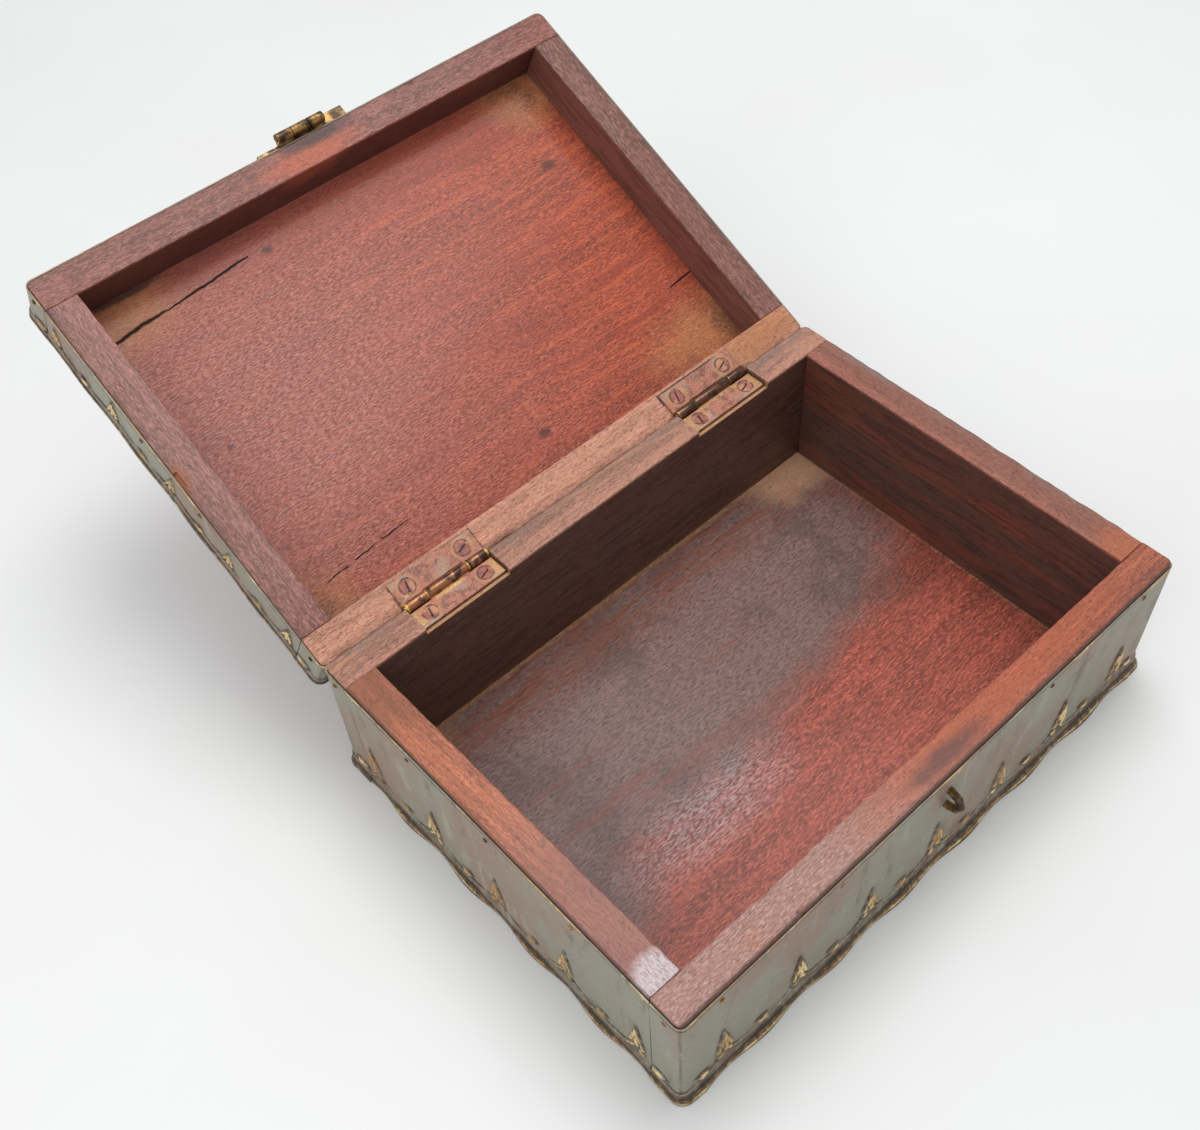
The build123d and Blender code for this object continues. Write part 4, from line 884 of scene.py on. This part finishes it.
def hinge_metal(name, on_lid=False):
    """Plates brushed over with the red varnish, and knuckles rubbed back to brass at their ends."""
    board = Board(name, on_lid=on_lid)
    tree, shader, where = board.tree, board.shader, board.where
    axes = put(tree, "SeparateXYZ", {0: where}).outputs
    cloud = noise_of(tree, where, 260.0, 5.0, 0.65)
    fine = noise_of(tree, where, 1500.0, 3.0, 0.65)
    rise = minus(tree, axes[2], HINGE_AXIS[2])
    depth = minus(tree, axes[1], HINGE_AXIS[1])
    radius = math_of(tree, "SQRT",
                     plus(tree, math_of(tree, "POWER", rise, 2.0), math_of(tree, "POWER", depth, 2.0)))
    middle = size_of(tree, minus(tree, size_of(tree, axes[0]), HINGE_X / 1000))
    barrel = between(tree, radius, 0.0026, 0.0022)
    end_ring = between(tree, middle, 0.0180, 0.0190)
    gap_ring = times(tree, between(tree, middle, 0.0089, 0.0092), between(tree, middle, 0.0100, 0.0097))
    fading = {"Value": axes[0], "From Min": -0.01, "From Max": 0.01, "To Min": 1.0, "To Max": 0.25}
    left = put(tree, "MapRange", fading).outputs[0]
    gold = times(tree, math_of(tree, "MAXIMUM", end_ring, gap_ring), left)
    gold = times(tree, gold, between(tree, cloud, 0.30, 0.46))
    slow = noise_of(tree, where, 95.0, 4.0, 0.6)
    painted = over(tree, tint(172, 104, 80), between(tree, cloud, 0.44, 0.60), tint(126, 72, 56))
    # greyish patches over the varnish: painted sheen
    painted = over(tree, painted, between(tree, slow, 0.50, 0.64), tint(160, 124, 104))
    painted = over(tree, painted, between(tree, fine, 0.56, 0.70), tint(208, 168, 146))
    beside = times(tree, between(tree, radius, 0.0048, 0.0034), between(tree, slow, 0.40, 0.56))
    near_ends = times(tree, between(tree, middle, 0.0130, 0.0188), between(tree, cloud, 0.36, 0.54))
    brassy = math_of(tree, "MAXIMUM", beside, times(tree, near_ends, 0.7))
    brassy = times(tree, brassy, 0.15 if on_lid else 1.0)
    plate = over(tree, painted, brassy,
                 over(tree, tint(188, 144, 92), between(tree, fine, 0.45, 0.65), tint(216, 184, 128)))
    from_screw = minus(tree, middle, 0.013)
    screw_line = minus(tree, axes[1], 0.0834)
    squares = plus(tree, math_of(tree, "POWER", from_screw, 2.0), math_of(tree, "POWER", screw_line, 2.0))
    screw_reach = math_of(tree, "SQRT", squares)
    countersink = times(tree, between(tree, screw_reach, 0.0026, 0.0030),
                        between(tree, screw_reach, 0.0038, 0.0032))
    worn_round = between(tree, screw_reach, 0.0058, 0.0036)
    worn_round = times(tree, worn_round, between(tree, cloud, 0.40, 0.56))
    plate = over(tree, plate, times(tree, worn_round, 0.6), tint(200, 142, 92))
    sunk_ring = times(tree, countersink, between(tree, cloud, 0.66, 0.40))
    plate = over(tree, plate, times(tree, sunk_ring, 0.95), tint(50, 28, 22))
    browner = over(tree, tint(70, 46, 38), left, tint(158, 104, 72))
    knuckle = over(tree, browner, between(tree, cloud, 0.46, 0.60), tint(66, 42, 33))
    knuckle = over(tree, knuckle, gold, tint(236, 190, 104))
    tree.links.new(over(tree, plate, barrel, knuckle), shader.inputs["Base Color"])
    metal = math_of(tree, "MAXIMUM", times(tree, barrel, 0.85), times(tree, brassy, 0.7))
    tree.links.new(metal, shader.inputs["Metallic"])
    rough = put(tree, "MapRange", {"Value": fine, "To Min": 0.22, "To Max": 0.48}).outputs[0]
    tree.links.new(rough, shader.inputs["Roughness"])
    shader.inputs["Coat Weight"].default_value = 0.3
    height = plus(tree, cloud, times(tree, fine, 0.5))
    bump = put(tree, "Bump", {"Height": height, "Distance": 0.00016, "Strength": 1.0})
    tree.links.new(bump.outputs[0], shader.inputs["Normal"])
    return board.material


def screw_metal(name, low, high, on_lid=False):
    """Varnished screw heads, dark down in the slot, which lies between two levels in metres."""
    board = Board(name, on_lid=on_lid)
    tree = board.tree
    axes = put(tree, "SeparateXYZ", {0: board.where}).outputs
    cloud = noise_of(tree, board.where, 420.0, 4.0, 0.6)
    board.ground((168, 92, 76))
    board.coat((112, 66, 54), between(tree, cloud, 0.42, 0.60), strength=0.8)
    board.coat((204, 150, 100), between(tree, noise_of(tree, board.where, 150.0, 3.0), 0.50, 0.60),
               strength=0.6)
    # painted highlights on the wrinkle tops
    board.coat((214, 170, 160), board.shown("Wrinkle", 0.56, 0.66), strength=0.5)
    board.coat((30, 18, 14), between(tree, axes[2], low, high), strength=0.92)
    return board.finish(0.30, 0.48, relief=0.0002)


hinge_finish = hinge_metal("lower hinge plates")
tack_finish = aged_brass("tack heads", tint(196, 140, 88), tint(92, 58, 38), tint(120, 74, 56), 0.3)
staple_finish = aged_brass("staple wire", tint(176, 138, 84), tint(64, 48, 34), tint(80, 54, 40), 0.3)
for name in ("hinge_left_base_plate", "hinge_right_base_plate", "hinge_left_pin", "hinge_right_pin"):
    finish_with(nodes[name], hinge_finish)
finish_with(nodes["base_sheet_tacks"], tack_finish)
finish_with(nodes["base_hinge_screws"], screw_metal("lower hinge screws", 0.0620, 0.0618))
finish_with(nodes["base_staple"], staple_finish)


# Lid rails. Four rails of the same wood, butted at the corners, stand on the panel and make the
# recess. Their rims are worn like the rims of the base, and one has lost a chip from its edge.

turn_open = (
    Matrix.Translation(Vector(HINGE_AXIS))
    @ Matrix.Rotation(-LID_OPEN, 4, "X")
    @ Matrix.Translation(-Vector(HINGE_AXIS))
)
LID_RIM, RAIL_TOP = 64.3, 82.8
rails = {
    "front": dict(direction="X", low=(-125, -90, LID_RIM), high=(125, -77, RAIL_TOP), seed=21,
                  ground=(148, 86, 72)),
    "back": dict(direction="X", low=(-125, 77, LID_RIM), high=(125, 90, RAIL_TOP), seed=22,
                 ground=(216, 148, 118)),
    "left": dict(direction="Y", low=(-125, -77, LID_RIM), high=(-112, 77, RAIL_TOP), seed=23,
                 ground=(158, 100, 88)),
    "right": dict(direction="Y", low=(112, -77, LID_RIM), high=(125, 77, RAIL_TOP), seed=24,
                  ground=(136, 84, 70)),
}
for side, plan in rails.items():
    rail = worn_board(f"lid_{side}_rim", plan["low"], plan["high"], plan["direction"], (0.2, 0.2, 0.6, 0.9),
                      plan["seed"])
    if side == "back":
        let_in_hinges(rail, 60, 64.5)
    if side == "left":
        cut_away(rail, (-127.0, 0.4, 63.6), (-123.4, 7.2, 65.8), turned=0.5)
    rail.data.transform(turn_open)
    board = red_stained(f"lid {side} rail", ground=plan["ground"], grain_along=plan["direction"], on_lid=True,
                        shift=0.11 * plan["seed"], amount=0.55, wrinkle_shading=0.8)
    tree = board.tree
    axes = put(tree, "SeparateXYZ", {0: board.where}).outputs
    rim = between(tree, axes[2], 0.0660, 0.0648)
    above = minus(tree, 1.0, rim)
    outward = size_of(tree, axes[1] if plan["direction"] == "X" else axes[0])
    outermost = 0.0865 if plan["direction"] == "X" else 0.1215
    board.coat((136, 80, 66) if side == "right" else (120, 52, 36), above, strength=0.75)
    board.coat((76, 32, 22), above, board.shown("Streak", 0.44, 0.62), strength=0.6)
    if side == "front":
        board.coat((64, 28, 20), above, strength=0.6)
    # painted highlights on the wrinkle tops of the rim
    board.coat((172, 124, 114), rim, board.shown("Wrinkle", 0.50, 0.60), strength=0.5)
    if side == "front":
        board.coat((196, 98, 62),
                   board.patch((-0.003, -0.0815, LID_RIM / 1000), (0.022, 0.0045, 0.01), 0.9, 0.4),
                   strength=0.8)
        board.coat((62, 46, 42),
                   board.patch((0.004, -0.0875, LID_RIM / 1000), (0.014, 0.0030, 0.01), 0.9, 0.4),
                   strength=0.85)
    if side == "left":
        scar = board.patch((-0.1243, 0.0036, LID_RIM / 1000), (0.0030, 0.0062, 0.004), 0.6, 0.2)
        board.coat((160, 88, 40), scar, strength=0.9)
    if side == "back":
        board.coat((190, 122, 70),
                   board.patch((0.106, 0.0835, LID_RIM / 1000), (0.020, 0.008, 0.01), 0.9, 0.4),
                   strength=0.7)
        # a broken dark line around the edges of the hinge plate: painted shadow of the plate
        from_hinge = size_of(tree, minus(tree, size_of(tree, axes[0]), HINGE_X / 1000))
        ends = times(tree, between(tree, from_hinge, 0.0190, 0.0194),
                     between(tree, from_hinge, 0.0204, 0.0200))
        line = times(tree, between(tree, axes[1], 0.0780, 0.0784), between(tree, axes[1], 0.0796, 0.0792))
        line = times(tree, line, between(tree, from_hinge, 0.0204, 0.0200))
        ends = times(tree, ends, between(tree, axes[1], 0.0782, 0.0786))
        broken = board.shown("Cloud", 0.2, 0.6)
        board.coat((44, 22, 16), math_of(tree, "MAXIMUM", ends, line), broken, strength=0.85)
        board.coat((150, 118, 108), between(tree, axes[1], 0.0758, 0.0784), between(tree, axes[1], 0.0800,
                                                                                    0.0786),
                   between(tree, from_hinge, 0.0215, 0.0190), board.scuff["Pale"], strength=0.9)
    board.coat((104, 68, 58), rim, between(tree, outward, outermost, outermost + 0.003),
               board.scuff["Cloud"], strength=0.7)
    board.coat((150, 128, 116), rim, between(tree, outward, outermost + 0.0008, outermost + 0.003),
               board.scuff["Pale"], strength=0.8)
    board.coat((86, 44, 34), rim, board.grain["Pores"], strength=0.2)
    board.coat((52, 26, 20), board.scuff["Dark"], strength=0.30)
    set_in_place(rail, board.finish(0.34, 0.56), f"lid_{side}_rail", "lid")


# Lid panel. One wide board with the grain across the lid, showing inside the recess. It keeps
# the best of the red varnish, with dust and bare wood in the corners, a long split that runs in
# from the hasp end of the left edge, and a few old nail holes and knots.

PANEL_FACE = 0.0828
board = red_stained("lid panel", ground=(184, 80, 50), on_lid=True, amount=0.42)
tree = board.tree
axes = put(tree, "SeparateXYZ", {0: board.where}).outputs
fine = board.shown("Wrinkle", 0.46, 0.60)
board.coat((206, 102, 60), board.shown("Streak", 0.54, 0.66), strength=0.6)
board.coat((140, 56, 38), board.shown("Figure", 0.46, 0.34), strength=0.5)
# the sheen on the left half of the panel, painted: a greyer colour with painted highlights on the wrinkle
# tops and painted shade in their hollows
sheen_patch = board.patch((-0.070, -0.005, PANEL_FACE), (0.085, 0.095, 1.0), 1.4, 0.14)
board.coat((160, 84, 70), sheen_patch, strength=0.6)
board.coat((214, 180, 172), sheen_patch, fine, strength=0.34)
board.coat((104, 42, 34), sheen_patch, board.shown("Wrinkle", 0.47, 0.38), strength=0.65)
top = between(tree, axes[1], -0.050, -0.074)
board.coat((150, 68, 52), top, strength=0.5)
dusty_corners = ((-0.104, -0.070, 0.022), (0.106, -0.070, 0.020), (0.103, 0.066, 0.030),
                 (-0.108, 0.074, 0.014))
for corner_x, corner_y, wide in dusty_corners:
    dust = board.patch((corner_x, corner_y, PANEL_FACE), (wide, 0.014, 0.003), 1.0, 0.4)
    board.coat((190, 116, 66), dust, strength=0.7)
    board.coat((96, 50, 32), dust, board.shown("Cloud", 0.35, 0.9), strength=0.6)
    board.coat((214, 168, 122), dust, fine, strength=0.4)
# a dark line in the corner where the panel meets the front rail: painted shadow
board.coat((40, 18, 12), board.patch((-0.096, -0.0764, PANEL_FACE), (0.018, 0.0016, 0.003), 0.8, 0.5),
           strength=0.8)
marks = (((0.0906, -0.0355), 0.0034), ((0.009, 0.0613), 0.0030), ((-0.0972, -0.0027), 0.0013),
         ((-0.0355, -0.0639), 0.0024))
for spot, size in marks:
    knot = board.patch((*spot, PANEL_FACE), (size, size * 0.7, 0.003), 0.8, 0.25)
    board.coat((84, 40, 28), knot, strength=0.75)
chipped = board.patch((-0.1010, -0.0622, PANEL_FACE), (0.010, 0.0022, 0.003), 0.7, 0.6)
board.coat((176, 108, 60), chipped, strength=0.8)
board.split((-0.1125, -0.0605, PANEL_FACE), (-0.0835, -0.0628, PANEL_FACE), 0.00080, 0.0022)
board.split((-0.0845, -0.0624, PANEL_FACE), (-0.0440, -0.0657, PANEL_FACE), 0.00050, 0.0026)
board.split((-0.1000, 0.0613, PANEL_FACE), (-0.0590, 0.0590, PANEL_FACE), 0.00030, 0.003)
board.split((0.0990, 0.0395, PANEL_FACE), (0.1125, 0.0385, PANEL_FACE), 0.00040, 0.001)
outside = between(tree, axes[2], 0.0850, 0.0860)
board.coat((132, 60, 42), outside, strength=0.55)
board.coat((88, 44, 34), outside, between(tree, size_of(tree, axes[1]), 0.070, 0.088),
           board.scuff["Cloud"], strength=0.7)
board.coat((88, 44, 34), outside, between(tree, size_of(tree, axes[0]), 0.105, 0.124),
           board.scuff["Cloud"], strength=0.7)
board.coat((60, 26, 20), board.scuff["Dark"], strength=0.28)
board.coat((226, 186, 172), board.scuff["Pale"], strength=0.4)
finish_with(nodes["lid_panel"], board.finish(0.30, 0.50))


# Metal cladding of the lid. The same sheet and the same border, turned upside down and lower, so
# that its hem stands at the top edge of the lid.

LID_SHEET_FOOT, LID_SHEET_TOP, LID_BORDER_SCALE = 65.0, 86.9, 0.62
for side, step, seed in (("front", 0.6, 53), ("left", 0.45, 64), ("right", 0.6, 75), ("back", 0.6, 86)):
    piece = clad(f"lid_{side}_cladding", side, LID_SHEET_FOOT, LID_SHEET_TOP, LID_BORDER_SCALE, step, seed,
                 hem_up=True)
    piece.data.transform(turn_open)
    piece.data.materials.append(cladding_finish)
    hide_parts(f"lid_{side}_sheet")
    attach(piece, "lid")


# Hardware of the lid. The upper hinge plates with their screws, and the fixed half of the hasp,
# tacked to the front rail over the metal.

upper_hinge_finish = hinge_metal("upper hinge plates", on_lid=True)
for name in ("hinge_left_lid_plate", "hinge_right_lid_plate"):
    finish_with(nodes[name], upper_hinge_finish)
finish_with(nodes["lid_hinge_screws"], screw_metal("upper hinge screws", 0.0635, 0.0637, on_lid=True))
for name in ("hasp_plate", "hasp_plate_tacks", "hasp_pin", "lid_sheet_tacks"):
    finish_with(nodes[name], staple_finish)


# Hasp tongue. A slotted strap of brass plate, rolled round the pin at one end.

finish_with(nodes["hasp_tongue"], staple_finish)


# Studio. A plain pale floor, one large soft lamp overhead and an even pale surround.

floor_mesh = bpy.data.meshes.new("floor")
FLOOR = 4
floor_mesh.from_pydata([(-FLOOR, -FLOOR, 0), (FLOOR, -FLOOR, 0), (FLOOR, FLOOR, 0), (-FLOOR, FLOOR, 0)],
                       [], [(0, 1, 2, 3)])
floor = add_object("floor", floor_mesh)
floor_finish, floor_tree, floor_shader = new_finish("pale floor")
floor_cloud = noise_of(floor_tree, put(floor_tree, "TexCoord").outputs["Object"], 6.0, 3.0)
floor_colour = over(floor_tree, tint(233, 234, 234), floor_cloud, tint(225, 225, 221))
floor_tree.links.new(floor_colour, floor_shader.inputs["Base Color"])
floor_shader.inputs["Roughness"].default_value = 0.6
floor_mesh.materials.append(floor_finish)

world = bpy.data.worlds.new("surround")
world.use_nodes = True
world.node_tree.nodes["Background"].inputs["Color"].default_value = (0.95, 0.97, 1.0, 1.0)
world.node_tree.nodes["Background"].inputs["Strength"].default_value = 0.66
bpy.context.scene.world = world


def soft_lamp(name, wide, power, place, aim):
    """An area lamp that faces a point."""
    lamp = add_object(name, bpy.data.lights.new(name, "AREA"))
    lamp.data.size = wide
    lamp.data.energy = power
    lamp.location = place
    lamp.rotation_euler = (Vector(aim) - lamp.location).to_track_quat("-Z", "Y").to_euler()
    return lamp


OVERHEAD_WIDE = 0.75
overhead = soft_lamp("overhead", OVERHEAD_WIDE, 9.0, place=(0.32, 0.24, 1.32), aim=(0.0, 0.06, 0.05))
overhead.data.shape = "RECTANGLE"
overhead.data.size_y = OVERHEAD_WIDE
soft_lamp("fill", 0.8, 3.3, place=(-0.85, -0.12, 0.85), aim=(0.0, 0.0, 0.03))

camera_data = bpy.data.cameras.new("camera")
camera_data.sensor_width = 36.0
camera_data.lens = 42.735
camera = add_object("camera", camera_data)
right = Vector((0.737259, -0.673955, -0.047271))
down = Vector((-0.550360, -0.558526, -0.620606))
ahead = Vector((0.391858, 0.483563, -0.782696))
CAMERA_PLACE = (-0.23090, -0.20000, 0.47659)
camera.matrix_world = Matrix.Translation(CAMERA_PLACE) @ Matrix(
    ((right.x, -down.x, -ahead.x), (right.y, -down.y, -ahead.y), (right.z, -down.z, -ahead.z))
).to_4x4()
bpy.context.scene.camera = camera
bpy.context.scene.view_settings.view_transform = "Standard"
